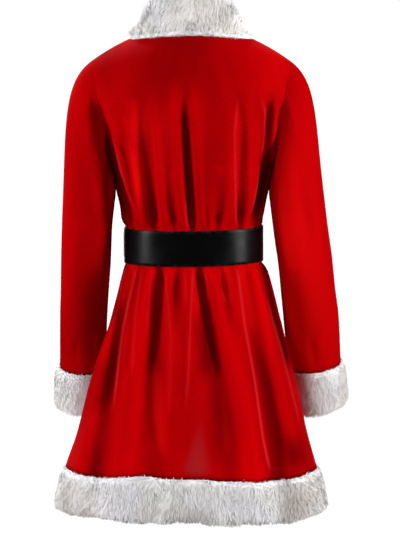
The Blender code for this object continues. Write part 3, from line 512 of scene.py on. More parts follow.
# Matted patches on the hem, and painted shade at its left side, the third spot.
HEM_MATTED_AND_SHADE_SPOTS = (
    Spot((-0.004, 0.165, -0.878), (0.036, 0.060, 0.022), 0.75),
    Spot((-0.198, 0.100, -0.855), (0.037, 0.090, 0.046), 1.05),
    Spot((0.215, 0.060, -0.860), (0.050, 0.080, 0.040), 0.60),
    Spot((0.120, -0.150, -0.870), (0.040, 0.060, 0.022), 0.60),
)
COLLAR_COATS = {
    LEFT: Coat(36000, 0.016, 0.0012, 0.46, 0.9, 0.50, 0.05, 3.0, 3.0, 0.28, 11, COLLAR_SHADE_SPOTS_LEFT),
    RIGHT: Coat(36000, 0.016, 0.0012, 0.50, 0.9, 0.40, 0.05, 3.0, 3.0, 0.22, 12, COLLAR_SHADE_SPOTS_RIGHT),
}
CUFF_COATS = {
    LEFT: Coat(30000, 0.017, 0.0011, 0.54, 1.0, 0.55, 0.10, 1.6, 3.0, 0.30, 13, ()),
    RIGHT: Coat(30000, 0.016, 0.0011, 0.42, 1.0, 0.55, 0.10, 1.6, 3.0, 0.36, 14, CUFF_SHADE_SPOTS),
}
HEM_COAT = Coat(66000, 0.016, 0.0014, 0.44, 1.0, 0.55, 0.10, 1.6, 2.4, 0.34, 15, HEM_MATTED_AND_SHADE_SPOTS)

# The waves that add up to a wandering value: how many, their range of lengths, and their height together.
WAVES, WAVE_RANGE, WAVES_TALL = 4, (0.7, 1.5), 2.4
SWAY_WAYS = ((1.0, 0.055), (0.6, 0.022))  # the waves in which the pile wanders sideways: share and length
LIFT_CHANGE, LIFT_WAY = 0.35, 0.035  # how far its lift changes, and over what distance
LENGTH_RANGE = (0.72, 1.12)  # how long single locks are, as a share of the coat's length
LENGTH_CHANGE, LENGTH_WAY = 0.12, 0.04  # how far that length changes, and over what distance
LOOSE = 0.24  # how far single locks stray
BEND = 0.35  # how far a lock leaves its ground more upright, and ends more combed, than its middle
LOWER_SHARE, UPPER_SHARE = 0.45, 0.55  # of a lock's length, below and above its bend
TAPER = 0.8  # a lock's width at its bend, as a share of its width at the root
WIDTH_RANGE, GATHER_RANGE = (0.7, 1.2), (0.4, 1.0)  # how far single locks differ in width and in gather
BEND_GATHER = 0.3  # how far the bends of a clump's locks draw together, as a share of their tips
TWIST = 0.35  # how far a lock's flat faces turn away from the coat's
CLUMP_STRIDE = 4096  # clumps are numbered row by row, and a row has fewer than this
MATTED_WAY, MATTED_LEAST = 0.06, 0.3  # size of the patches in which locks gather, and their gather outside
MATTED_DULL = 0.15  # how dull those patches are
ROOT_DEPTH = 0.002  # how deep the locks' roots lie in their ground
SOFT_WAY, SOFT_SPREAD = 0.20, 0.07  # how a lock's shading leans along it, and how far it varies
SOFT_FACE = 0.85  # how far a coat's rolled edges are shaded like its flat middle

EDGE_ROWS, EDGE_BACK = 1.6, 0.12  # rows next to a seam over which the pile turns back, and how strongly
EDGE_LENGTH = 0.45  # share of its length that the pile has there
CUFF_LEAN = 0.45  # how far a cuff's pile leans across next to the body
HEM_ALONG = 0.2  # how far the hem's pile follows the skirt's slope
HEM_LONG_X, HEM_LONG_HALF = -0.072, 0.060  # where the hem's pile hangs longer: its middle and half width
HEM_LONG_Z, HEM_LONG_REACH, HEM_LONG_SHARE = -0.850, 0.03, 0.20  # its top, its fade, and how much longer
COLLAR_EDGE = 0.10  # share of the collar's height at its foot over which the pile turns down
COLLAR_ALONG = {LEFT: -0.75, RIGHT: 0.10}  # how far a half is combed along the neck, below 0 to the back
COLLAR_MEET, COLLAR_CROSS = 1.2, 0.7  # rows next to the centre over which the pile leans across, and how far
COLLAR_CUT = 0.006  # how much lower the collar's ground is than its solid
COLLAR_FULL, COLLAR_SHORT = 0.45, 0.60  # its pile is longer high on its left, and shorter low on its right
COLLAR_FULL_X, COLLAR_FULL_Z = (0.060, 0.030), (0.030, 0.020)  # past which places it is longer, and the fade
COLLAR_SHORT_X, COLLAR_SHORT_Z = (0.080, 0.020), (-0.045, 0.025)  # the same, rightwards and downwards

# ---------------------------------------------------------------- how the velvet shows

PATCH_X, PATCH_LEAN, PATCH_HALF = -0.010, 0.080, 0.036  # the painted sheen patch's middle, lean and half width
PATCH_TOP, PATCH_FULL, PATCH_SHARE = -0.680, -0.800, 0.42  # it widens from its top to this level
PATCH_SOFT, PATCH_FOOT = 0.9, 0.02  # how softly it ends at its sides, and the height in which it ends below
LIFT_REACH = 0.040  # how far to each side a fold's height is compared with the cloth round it
CREST_WIDEST, CREST_NARROW = 0.0061, 0.36  # widest ridge that gets a painted sheen, and how much of its width
CREST_HEIGHT, CREST_SHARE = 0.0050, 0.28  # height of ridge whose painted sheen is full, and how far that goes
CREST_REACH = 0.022  # a crest's painted sheen is full this far past the belt's edge
BRUSH_SHARE = 0.30  # how far the brushing of the pile changes its colour
TUFT_SHARE = 0.25  # how far the gaps between its tufts darken it

NOISE_LUMP = 1.6  # one over a noise texture's scale is this many times the size of its lumps
WAVE_TURN = 2 * np.pi / 20  # distance between the bands of a wave texture at scale 1
RIB = 0.00754  # distance between the ribs of the knit as drawn
MIX_SHARE, MIX_FIRST, MIX_SECOND, MIX_RESULT = 0, 6, 7, 2  # a colour mix's sockets, which share their names

# ---------------------------------------------------------------- the stage

# Azimuths go from the back, +Y, towards the wearer's left, +X, and rises go up from level, in degrees.
KEY_AZIMUTH, SIDE_AZIMUTH, FRONT_AZIMUTH = -66, 68, 172
KEY_WIDE, SIDE_WIDE, FRONT_WIDE = 0.60, 0.90, 0.90
SOFTBOX_TALL, SOFTBOX_AWAY, SOFTBOX_LEVEL = 2.2, 3.0, 0.25
SOFTBOX_AIM = -0.35  # the level that the softboxes face
TOP_AZIMUTH, TOP_RISE = 20, 80
SUN_AZIMUTH, SUN_RISE = 160, 45
FILL_AZIMUTH, FILL_RISE = 18, 4
WORLD_STRENGTH = 0.10
CAMERA_PLACE, CAMERA_AIM, CAMERA_LENS = (-0.017, 8.0, 0.5), (-0.017, 0.05, -0.426), 287

HANDS = (("left", LEFT), ("right", RIGHT))
PANELS = ["velvet_back", "velvet_front"]
MATERIALS = {}  # each finished material, by the name of the function that makes it


# ---------------------------------------------------------------- curves through a table


def smooth(rows, key, value, at):
    """The column value at places along the column key, on a curve through the rows that doesn't overshoot."""
    table = sorted((getattr(row, key), getattr(row, value)) for row in rows)
    knots, heights = np.array(table).T
    steps = np.diff(heights) / np.diff(knots)
    both = steps[:-1] * steps[1:]
    inner = np.where(both > 0, 2 * both / np.where(both > 0, steps[:-1] + steps[1:], 1), 0)
    slopes = np.concatenate([steps[:1], inner, steps[-1:]])
    at = np.clip(np.asarray(at, float), knots[0], knots[-1])
    cell = np.clip(np.searchsorted(knots, at, side="right") - 1, 0, len(knots) - 2)
    span = knots[cell + 1] - knots[cell]
    t = (at - knots[cell]) / span
    return (
        (2 * t**3 - 3 * t**2 + 1) * heights[cell]
        + (t**3 - 2 * t**2 + t) * span * slopes[cell]
        + (3 * t**2 - 2 * t**3) * heights[cell + 1]
        + (t**3 - t**2) * span * slopes[cell + 1]
    )


def ease(value):
    """0 below 0, 1 above 1, and a smooth step between."""
    t = np.clip(value, 0, 1)
    return t * t * (3 - 2 * t)


def past(value, start, fade):
    """0 up to the start, and 1 once the fade after it is over."""
    return ease((value - start) / fade)


def squared(wave):
    """A cosine or sine with fuller shoulders, which makes a circle a rounded square."""
    return np.sign(wave) * abs(wave) ** FULLNESS


def unit(vectors):
    """Vectors of the same directions, each of length 1."""
    vectors = np.asarray(vectors, float)
    return vectors / np.linalg.norm(vectors, axis=-1, keepdims=True)


# ---------------------------------------------------------------- the form of the dress


def belt_middle(x):
    """Height of the belt's middle line."""
    return BELT_Z + BELT_TILT * x


def ridge(x):
    """Height of the shoulder seam."""
    return RIDGE_TOP - RIDGE_FALL * x**2


def section(name, z):
    """A size of the body of the dress at a height."""
    return smooth(SECTIONS, "z", name, z)


def fold_height(side, x, z):
    """How far the folds move the cloth out, at points of a panel given by x and height."""
    half = section("half_width", z)
    deep = section(DEPTH[side], z)
    middle = section("middle_x", z)
    angle = np.arccos(np.clip((x - middle) / half, -1, 1))
    total = np.zeros_like(angle)
    for fold in FOLDS[side]:
        length = abs(fold.z_end - BELT_Z)
        run = (z - BELT_Z) * np.sign(fold.z_end - BELT_Z)
        share = np.clip(run / length, 0, 1)
        path = fold.x_belt + (fold.x_end - fold.x_belt) * share
        wide = fold.width_belt + (fold.width_end - fold.width_belt) * share
        depth = fold.depth_belt + (fold.depth_end - fold.depth_belt) * share**3
        at = np.arccos(np.clip((path - middle) / half, -1, 1))
        arc = np.hypot(half * np.sin(at), deep * np.cos(at))
        off = (angle - at) * arc / wide
        total -= ease(1 + run / FOLD_RETURN) * depth * (1 - off**2) * np.exp(-(off**2) / 2)
    near_belt = ease((abs(z - belt_middle(x)) - BELT_WIDTH / 2) / BELT_REACH)
    valley = UNDER_BELT + (1 - UNDER_BELT) * near_belt
    total *= np.where(total > 0, near_belt, valley)
    return total * ease(np.sin(angle) * deep / FOLD_EDGE)


def crease_share(z, low, high, fade):
    """1 along a crease, and 0 past its ends. An end at the belt goes on under it."""
    at_low = z > BELT_Z if low == ABOVE_BELT else ease((z - low) / fade)
    at_high = z < BELT_Z if high == BELOW_BELT else ease((high - z) / fade)
    return at_low * at_high


def stroke_sum(creases, x, z):
    """Heights of all the given creases together, at points of a panel."""
    total = np.zeros_like(x)
    for crease in creases:
        across, heights = np.array(crease.path).T
        off = (x - np.interp(z, heights, across)) / crease.width
        share = crease_share(z, heights[0], heights[-1], crease.fade)
        total += crease.height * share * np.exp(-(off**2))
    return total


def crease_height(side, x, z):
    """How far the finer creases move the cloth out."""
    total = stroke_sum(CREASES[side], x, z)
    past_belt = (abs(z - belt_middle(x)) - BELT_WIDTH / 2) / GATHER_REACH
    return total * ease(past_belt)


def crest_sheen_share(side, x, z):
    """How strong the painted sheen is along the narrow ridges, from 0 to 1."""
    total = np.zeros_like(x)
    for crease in CREASES[side]:
        if 0 < crease.height and crease.width <= CREST_WIDEST:
            across, heights = np.array(crease.path).T
            off = (x - np.interp(z, heights, across)) / (crease.width * CREST_NARROW)
            share = crease_share(z, heights[0], heights[-1], crease.fade)
            total = np.maximum(total, share * (crease.height / CREST_HEIGHT) ** 2 * np.exp(-(off**2)))
    past_belt = (abs(z - belt_middle(x)) - BELT_WIDTH / 2) / CREST_REACH
    return np.clip(total, 0, 1) * ease(past_belt)


def panel_point(side, x, z):
    """The cloth's outer surface at x and z, on the back or the front."""
    half = section("half_width", z)
    deep = section(DEPTH[side], z)
    middle_x = section("middle_x", z)
    middle_y = section("middle_y", z)
    across = np.clip((x - middle_x) / half, -1, 1)
    round_share = np.sqrt(1 - across**2)
    under = np.clip((ridge(x) - z) / ARCH, 0, 1)
    arch = np.sqrt(1 - (1 - under) ** 2)
    out = unit(np.stack([across / half, side * round_share / deep], axis=-1))
    fold = (fold_height(side, x, z) + crease_height(side, x, z)) * arch
    gap = SEAM / 2 + (SHOULDER_SEAM - SEAM) / 2 * (1 - under) * (z > UNDERARM_Z)
    y = middle_y + side * (deep * round_share * arch + gap)
    return np.stack([x + out[..., 0] * fold, y + out[..., 1] * fold, z + 0 * x], axis=-1)


def neckline_z(side, x):
    """Height of a panel's top edge: the shoulder seam, and the neckline inside the neck points."""
    x = abs(np.asarray(x, float))
    inside = np.clip(x, 0, NECK_HALF)
    if side == FRONT:
        neck = smooth(FRONT_NECK, "x", "z", inside)
    else:
        behind = BACK_NECK_Y * np.sqrt(np.clip(1 - (inside / NECK_HALF) ** 2, 0, 1))
        half = section("half_width", 0)
        deep = section("back_depth", 0) * np.sqrt(1 - (inside / half) ** 2)
        neck = ridge(inside) - ARCH * (1 - np.sqrt(1 - (behind / deep) ** 2))
    return np.where(x < NECK_HALF, neck, ridge(x))


def sleeve_level(hand, z, around):
    """A ring of the sleeve at a height. Its angle starts at the side by the body and goes round the back."""
    rows = SLEEVES[hand]
    outer, inner = smooth(rows, "z", "outer", z), smooth(rows, "z", "inner", z)
    out = (outer + inner) / 2 - np.cos(around) * (outer - inner) / 2
    behind = np.sin(around) * smooth(rows, "z", "half_depth", z)
    rise = smooth(rows, "z", "slope_y", z) * behind
    rise = rise + smooth(rows, "z", "slope_x", z) * (out - (outer + inner) / 2)
    return np.stack([hand * out, smooth(rows, "z", "middle_y", z) + behind, z + rise], axis=-1)


def column_angles():
    """The angle of each column round a panel from the wearer's left, with one column on each neck point."""
    neck = np.arccos(NECK_HALF / SHOULDER_HALF)
    left = [*np.linspace(0, neck, SHOULDER_CELLS + 1), *np.linspace(neck, np.pi / 2, NECK_CELLS + 1)[1:]]
    return np.array([*left, *(np.pi - np.array(left[-2::-1]))])


def upper_shares():
    """Heights of the upper rows, from 0 at the underarm to 1 at the shoulder, closer at both ends."""
    return (1 - np.cos(np.pi * np.linspace(0, 1, UPPER_CELLS + 1))) / 2


@lru_cache
def panel_grid(side):
    """Rows of points up a panel, each from the wearer's left to the right."""
    cosines = np.cos(column_angles())
    rows = []
    drop = hem_line(side, "drop", cosines)
    for level in np.linspace(HEM_Z, UNDERARM_Z, round((UNDERARM_Z - HEM_Z) / ROW)):
        z = level - drop * ease((HEM_Z + SEAM_REACH - level) / SEAM_REACH)
        x = section("middle_x", z) + section("half_width", z) * cosines
        rows.append(panel_point(side, x, z))
    top_x = SHOULDER_HALF * cosines
    top_z = neckline_z(side, top_x)
    for share in upper_shares()[1:]:
        z = UNDERARM_Z + (top_z - UNDERARM_Z) * share
        edge_z = UNDERARM_Z + (ridge(SHOULDER_HALF) - UNDERARM_Z) * share
        half = smooth(ARMHOLE, "z", "x", edge_z)
        middle = section("middle_x", edge_z) * (1 - share)
        rows.append(panel_point(side, middle + half * cosines, z))
    return np.array(rows)


def armhole_ring(hand):
    """The armhole's points from the underarm up the back, over the shoulder tip and down the front."""
    column = 0 if hand == LEFT else -1
    back = panel_grid(BACK)[-UPPER_CELLS - 1 :, column]
    front = panel_grid(FRONT)[-UPPER_CELLS - 1 :, column]
    ring = np.concatenate([back, front[-2:0:-1]])
    ring[[0, UPPER_CELLS], 1] = 0
    return ring


def sleeve_stroke_sum(creases, around, z):
    """Heights of all the given creases together, at angles round a sleeve and heights on it."""
    total = np.zeros(np.broadcast(around, z).shape)
    for crease in creases:
        turn = (around - crease.turn - crease.lean * (z - crease.z) + np.pi) % (2 * np.pi) - np.pi
        across = turn * SLEEVE_ROUND / crease.width
        down = 2 * (z - crease.z) / crease.length
        total += crease.height * np.exp(-(across**2) - down**2)
    return total


def sleeve_grid(hand):
    """Rings from the armhole to the cuff, with their creases."""
    rows = SLEEVES[hand]
    around = np.linspace(0, 2 * np.pi, 2 * UPPER_CELLS, endpoint=False)
    start = armhole_ring(hand)
    high = ((1 - np.cos(around)) / 2)[:, None]
    away = np.array(CAP_LOW) + (np.array(CAP_TOP) - np.array(CAP_LOW)) * high**CAP_TURN
    away[:, 1] += CAP_SWELL * np.sin(around)
    away = unit(away) * (hand, 1, 1)
    start = start + away * ARMHOLE_SEAM
    first, last = rows[0].z, rows[-1].z
    end = sleeve_level(hand, first, around)
    up = unit(end - sleeve_level(hand, first - CAP_STEP, around))
    handle_a = start + away * (CAP_HANDLES[0] + CAP_HANDLES[1] * high)
    handle_b = end + up * (SLEEVE_HANDLES[0] + SLEEVE_HANDLES[1] * high)
    rings = []
    for t in np.linspace(0, 1, CAP_CELLS + 1):
        upper = (1 - t) ** 3 * start + 3 * t * (1 - t) ** 2 * handle_a
        rings.append(upper + 3 * t**2 * (1 - t) * handle_b + t**3 * end)
    for z in np.linspace(first, last, round((first - last) / ROW) + 1)[1:]:
        rings.append(sleeve_level(hand, z, around))
    grid = np.array(rings)
    height = sleeve_stroke_sum(SLEEVE_CREASES, around + SLEEVE_TURN[hand], grid[..., 2])
    ends = ease(np.linspace(0, SLEEVE_ENDS, len(grid)))[:, None]
    height = height * ends * ends[::-1]
    # Painted shade and highlights in strokes, and a painted shadow along the sleeve's end next to the cuff.
    brush = sleeve_stroke_sum(SLEEVE_SHADING_STROKES[hand], around, grid[..., 2])
    brush += SEAM_SHADE * np.exp(-(((grid[..., 2] - grid[-1, :, 2]) / SEAM_SHADE_REACH) ** 2))
    return grid + loft_normals(grid) * height[..., None], height, brush


def loft_normals(grid):
    """Outward normals at the points of a loft of closed rings."""
    across = np.roll(grid, -1, axis=1) - np.roll(grid, 1, axis=1)
    normals = unit(np.cross(across, np.gradient(grid, axis=0)))
    outward = ((grid - grid.mean(axis=1, keepdims=True)) * normals).sum()
    return normals * np.sign(outward)


def hem_line(side, name, cosine):
    """The seam's drop or the ground's rise at a place round the skirt."""
    return smooth(HEM_ROWS[side], "across", name, cosine)


def hem_point(side, angle, z):
    """The velvet's outer surface carried on down to the fur hem's levels."""
    x = section("middle_x", z) + section("half_width", z) * np.cos(angle)
    return panel_point(side, x, z)


def neckline_path(cells):
    """Points and shares along the neckline's left half, from centre back round to centre front."""
    fine = np.linspace(0, 1, NECKLINE_STEPS)
    back_x = NECK_HALF * np.sin(fine * np.pi / 2)
    back = panel_point(BACK, back_x, neckline_z(BACK, back_x))
    front_x = NECK_HALF * np.cos(fine * np.pi / 2)[1:]
    front = panel_point(FRONT, front_x, neckline_z(FRONT, front_x))
    line = np.concatenate([back, front])
    run = np.concatenate([[0], np.cumsum(np.linalg.norm(np.diff(line, axis=0), axis=1))])
    shares = np.linspace(0, 1, cells + 1)
    points = np.stack([np.interp(shares * run[-1], run, line[:, k]) for k in range(3)], axis=1)
    return points, shares


def tube_section(top, bottom, out, proud, wall):
    """A ring's section: out over the pile from top to bottom, and back up its plain inner face."""
    down = np.linspace(0, 1, PILE_STEPS)
    swell = smooth(PILE, "down", "out", down)[:, None]
    outer = top + (bottom - top) * down[:, None] + out * proud * swell
    inner = [point - out * (wall - proud) for point in (bottom, (top + bottom) / 2, top)]
    return np.concatenate([outer, inner])


def hem_sections(proud, around):
    """The fur hem's sections, all the way round from the wearer's left over the back."""
    sections = []
    for angle in np.linspace(0, 2 * np.pi, around, endpoint=False):
        side = BACK if np.sin(angle) >= 0 else FRONT
        across = np.cos(angle)
        levels = HEM_Z - hem_line(side, "drop", across), HEM_END_Z + hem_line(side, "rise", across)
        top, bottom = (hem_point(side, angle, z) for z in levels)
        half = section("half_width", HEM_Z)
        deep = section(DEPTH[side], HEM_Z)
        out = unit([across / half, np.sin(angle) / deep, 0.0])
        top, bottom = top - (0, 0, HEM_SEAM), bottom - out * HEM_TUCK
        sections.append(tube_section(top, bottom, out, proud, HEM_WALL - HEM_PROUD + proud))
    return np.array(sections)


def cuff_run(hand):
    """The way down a cuff."""
    rows = SLEEVES[hand]
    return unit(CUFF_RUN + np.array([CUFF_SPREAD * rows[-1].slope_x, 0, 0])) * (hand, 1, 1)


def cuff_sections(hand, proud, around):
    """A fur cuff's sections, round the end of the sleeve."""
    rows = SLEEVES[hand]
    turn = np.linspace(0, 2 * np.pi, around, endpoint=False)
    start = sleeve_level(hand, rows[-1].z, turn)
    run = cuff_run(hand)
    by_body, outside = CUFF_RISE[hand]
    sections = []
    for point, share in zip(start, (1 - np.cos(turn)) / 2, strict=True):
        length = CUFF_LENGTH - by_body - (outside - by_body) * share
        out = point - start.mean(axis=0)
        out = unit(out - run * out.dot(run))
        top = point + run * SEAM
        wall = CUFF_WALL - CUFF_PROUD + proud
        sections.append(tube_section(top, top + run * length, out, proud, wall))
    return np.array(sections)


def collar_rings(hand, thick_share, cut):
    """Oval sections of half the collar, from the centre back to the centre front, lowered by cut."""
    points, shares = neckline_path(COLLAR_CELLS)
    points[[0, -1], 0] = SEAM / 2
    ahead = np.gradient(points, axis=0)
    ahead[[0, -1]] = (1, 0, 0), (-1, 0, 0)
    turn = np.linspace(0, 2 * np.pi, COLLAR_ROUND, endpoint=False)
    rings = []
    for point, share, tangent in zip(points, shares, ahead, strict=True):
        lean = unit([smooth(COLLAR, "along", name, share) for name in ("lean_x", "lean_y", "lean_z")])
        height, thick, inset = (smooth(COLLAR, "along", name, share) for name in ("height", "thick", "inset"))
        out = unit(np.cross(lean, tangent))
        foot = point - out * CLOTH / 2 + lean * COLLAR_LIFT
        tall, wide = squared(np.cos(turn)), squared(np.sin(turn))
        up = (1 + tall) / 2
        across = wide * thick * thick_share / 2 - inset * ease(up / COLLAR_TURN)
        ring = foot + up[:, None] * lean * (height - cut) + across[:, None] * out
        ring[:, 0] = np.maximum(ring[:, 0], SEAM / 2)
        rings.append(ring * (hand, 1, 1))
    return np.array(rings)


def waist(name):
    """A size of the dress's section at the middle of the belt."""
    return float(section(name, BELT_Z))


def waist_runs():
    """Angles round the waist, more than once, and the length of belt from the centre front to each."""
    angle = np.linspace(-np.pi, 3 * np.pi, WAIST_STEPS)
    x = waist("half_width") * np.sin(angle)
    y = np.where(np.cos(angle) > 0, waist("front_depth"), waist("back_depth")) * np.cos(angle)
    run = np.concatenate([[0], np.cumsum(np.hypot(np.diff(x), np.diff(y)))])
    return angle, run - np.interp(0, angle, run)


def once_round():
    """Length of belt that goes once round the waist."""
    angle, run = waist_runs()
    return np.interp(2 * np.pi, angle, run)


def belt_point(run, z, off):
    """A point off the cloth, at a length of belt from the centre front round by the wearer's left."""
    angles, runs = waist_runs()
    angle = np.interp(run, runs, angles)
    depth = np.where(np.cos(angle) > 0, waist("front_depth"), waist("back_depth"))
    x = waist("middle_x") + (waist("half_width") + BELT_OFF + off) * np.sin(angle)
    y = waist("middle_y") - (depth + BELT_OFF + off) * np.cos(angle)
    return np.stack([x, y, belt_middle(x) + z], axis=-1)


def strap_sections():
    """Rounded sections along the strap, each from its lower edge over the outer face and back inside."""
    lap = once_round()
    half = BUCKLE_WIDTH / 2
    rows = (
        StrapRow(STRAP_START, 0.0),
        StrapRow(lap - half + BUCKLE_SIDE, 0.0),
        StrapRow(lap - BUCKLE_BAR / 2, OVER_BAR),
        StrapRow(lap + BUCKLE_BAR / 2, OVER_BAR),
        StrapRow(lap + half - BUCKLE_SIDE, 0.0),
        StrapRow(lap + half, 0.0),
        StrapRow(lap + STRAP_START - START_RAMP, OVER_START),
        StrapRow(lap + STRAP_TIP, OVER_START),
    )
    knots = [row.run for row in rows]
    runs = np.union1d(np.linspace(STRAP_START, lap + STRAP_TIP, STRAP_CELLS), knots)
    base = np.interp(runs, knots, [row.off for row in rows])
    high, corner = BELT_WIDTH / 2, BELT_CORNER
    outer = np.linspace(corner - high, high - corner, STRAP_ACROSS)
    inner = outer[::-3]  # the hidden face has fewer points
    z = np.concatenate([[-high], outer, [high, high], inner, [-high]])
    shoulder = BELT_THICK - corner
    off = [shoulder, *[BELT_THICK] * len(outer), shoulder, corner, *[0] * len(inner), corner]
    sections = []
    for run, start in zip(runs, base, strict=True):
        left = lap + STRAP_TIP - run
        narrow = np.sqrt(np.clip(1 - (1 - left / TIP_LENGTH).clip(0) ** 2, 0.1, 1))
        wave = sum(share * np.sin(run * along + z * across + at) for share, along, across, at in BELT_WAVES)
        wave = BELT_WAVE * wave * (np.array(off) > corner) * (left > TIP_LENGTH)
        sections.append(belt_point(run, z * (1 - TIP_ROUND * (1 - narrow)), start + off + wave))
    return np.array(sections)


def buckle_plate():
    """The slide buckle's outer face: points in rows up the belt, and the faces that its windows leave."""
    half, top = BUCKLE_WIDTH / 2, BUCKLE_HEIGHT / 2
    inner = half - BUCKLE_SIDE
    bar = BUCKLE_BAR / 2
    rail = top - BUCKLE_RAIL
    right = [*np.linspace(-half, -inner, 4), *np.linspace(-inner, -bar, WINDOW_CELLS)[1:]]
    runs = np.array([*right, 0.0, *(-np.array(right[::-1]))])
    levels = np.array([-top, *np.linspace(-rail, rail, BUCKLE_CELLS), top])
    side_off = BELT_THICK + STRAP_GAP
    off = BUCKLE_LIFT + (side_off - BUCKLE_LIFT) * ease(abs(runs) / inner) + BUCKLE_THICK
    grid = np.stack([belt_point(runs, z, off) for z in levels])
    faces = loft_faces(len(levels), len(runs), False)
    row, column = np.divmod(np.arange(len(faces)), len(runs) - 1)
    middle = abs(runs[column] + runs[column + 1]) / 2
    window = (row > 0) & (row < len(levels) - 2) & (middle > bar) & (middle < inner)
    return grid, faces[~window]


# ---------------------------------------------------------------- meshes from points


def loft_faces(rows, columns, closed):
    """Four-sided faces over rows of points. A closed loft joins each row's end to its start."""
    across = columns if closed else columns - 1
    row, here = np.divmod(np.arange((rows - 1) * across), across)
    beyond = (here + 1) % columns
    low, high = row * columns, (row + 1) * columns
    return np.stack([low + here, high + here, high + beyond, low + beyond], axis=1)


def mesh_object(name, points, face_groups, materials, attributes=None):
    """An object from arrays: its points, groups of faces with equal numbers of corners, and point values."""
    mesh = bpy.data.meshes.new(name)
    mesh.vertices.add(len(points))
    mesh.vertices.foreach_set("co", np.asarray(points, np.float32).ravel())
    corners = np.concatenate([group.ravel() for group in face_groups]).astype(np.int32)
    sizes = np.concatenate([np.full(len(group), group.shape[1]) for group in face_groups])
    mesh.loops.add(len(corners))
    mesh.loops.foreach_set("vertex_index", corners)
    mesh.polygons.add(len(sizes))
    mesh.polygons.foreach_set("loop_start", np.concatenate([[0], np.cumsum(sizes)[:-1]]).astype(np.int32))
    for attribute, values in (attributes or {}).items():
        layer = mesh.attributes.new(attribute, "FLOAT", "POINT")
        layer.data.foreach_set("value", np.asarray(values, np.float32).ravel())
    mesh.update(calc_edges=True)
    mesh.validate()
    for material in materials:
        mesh.materials.append(material)
    obj = bpy.data.objects.new(name, mesh)
    bpy.context.scene.collection.objects.link(obj)
    mesh.shade_smooth()
    return obj


def outward_faces(grid, closed):
    """A loft's faces, turned so that they face away from the grid's middle line."""
    rows, columns = grid.shape[:2]
    faces = loft_faces(rows, columns, closed)
    points = grid.reshape(-1, 3)
    normals = np.cross(points[faces[:, 1]] - points[faces[:, 0]], points[faces[:, 3]] - points[faces[:, 0]])
    away = (points[faces[:, 0]] - grid.mean(axis=(0, 1))) * normals
    return faces if away.sum() > 0 else faces[:, ::-1]


def cloth_piece(name, grid, closed, thickness, materials, attributes):
    """A cloth shell over a grid, thickened inwards, with the second material on its inside."""
    obj = mesh_object(name, grid.reshape(-1, 3), [outward_faces(grid, closed)], materials, attributes)
    uses = np.bincount([loop.edge_index for loop in obj.data.loops], minlength=len(obj.data.edges))
    border = obj.data.attributes.new("sharp_edge", "BOOLEAN", "EDGE")
    border.data.foreach_set("value", uses == 1)  # so that a seam's cut edges don't shade its faces
    wall = obj.modifiers.new("Wall", "SOLIDIFY")
    wall.thickness = thickness
    wall.offset = -1
    wall.material_offset = 1
    return obj


def ring_body(name, grid, material):
    """A closed body over rings that are closed both ways."""
    rows, columns = grid.shape[:2]
    looped = np.concatenate([grid, grid[:1]])
    faces = loft_faces(rows + 1, columns, True) % (rows * columns)
    return wound_outward(mesh_object(name, looped[:-1].reshape(-1, 3), [faces], [material]))


def capped_body(name, grid, material):
    """A closed body over closed rings, with a cap at each end."""
    rows, columns = grid.shape[:2]
    caps = np.array([np.arange(columns), (rows - 1) * columns + np.arange(columns)])
    faces = [loft_faces(rows, columns, True), caps]
    return wound_outward(mesh_object(name, grid.reshape(-1, 3), faces, [material]))


def wound_outward(obj):
    """Turns a closed body's faces outwards."""
    shape = bmesh.new()
    shape.from_mesh(obj.data)
    bmesh.ops.recalc_face_normals(shape, faces=shape.faces)
    shape.to_mesh(obj.data)
    shape.free()
    return obj


# ---------------------------------------------------------------- fur


def wander(places, seed, wavelength):
    """A smooth value from about -1 to 1 that changes over the given distance, the same each time."""
    waves = np.random.default_rng(seed)
    total = np.zeros(len(places))
    for _ in range(WAVES):
        way = waves.normal(size=3)
        way *= 2 * np.pi / (wavelength * waves.uniform(*WAVE_RANGE) * np.linalg.norm(way))
        total += np.sin(places @ way + waves.uniform(0, 2 * np.pi))
    return total / WAVES_TALL


def scatter(grid, count, chance):
    """Roots spread evenly over a closed loft.

    Gives their places, their outward normals, the way down the loft, and their rows and columns in its grid.
    """
    wide = np.concatenate([grid, grid[:, :1]], axis=1)
    down = wide[1:, :-1] - wide[:-1, :-1]
    along = wide[:-1, 1:] - wide[:-1, :-1]
    cross = np.cross(along, down)
    area = np.linalg.norm(cross, axis=-1).ravel()
    row, column = np.divmod(chance.choice(len(area), count, p=area / area.sum()), wide.shape[1] - 1)
    down_share, along_share = chance.random((2, count))
    step = down_share[:, None]
    near = wide[row, column] * (1 - step) + wide[row + 1, column] * step
    far = wide[row, column + 1] * (1 - step) + wide[row + 1, column + 1] * step
    place = near + (far - near) * along_share[:, None]
    outward = ((wide[:-1, :-1] - grid.mean(axis=(0, 1))) * cross).sum()
    normal = unit(cross[row, column]) * np.sign(outward)
    return place, normal, unit(down[row, column]), row + down_share, column + along_share


def clump_means(ids, values):
    """Each lock's clump's mean value."""
    _, index, counts = np.unique(ids, return_inverse=True, return_counts=True)
    index = index.ravel()
    sums = np.stack([np.bincount(index, values[:, axis]) for axis in range(3)], axis=1)
    return (sums / counts[:, None])[index]


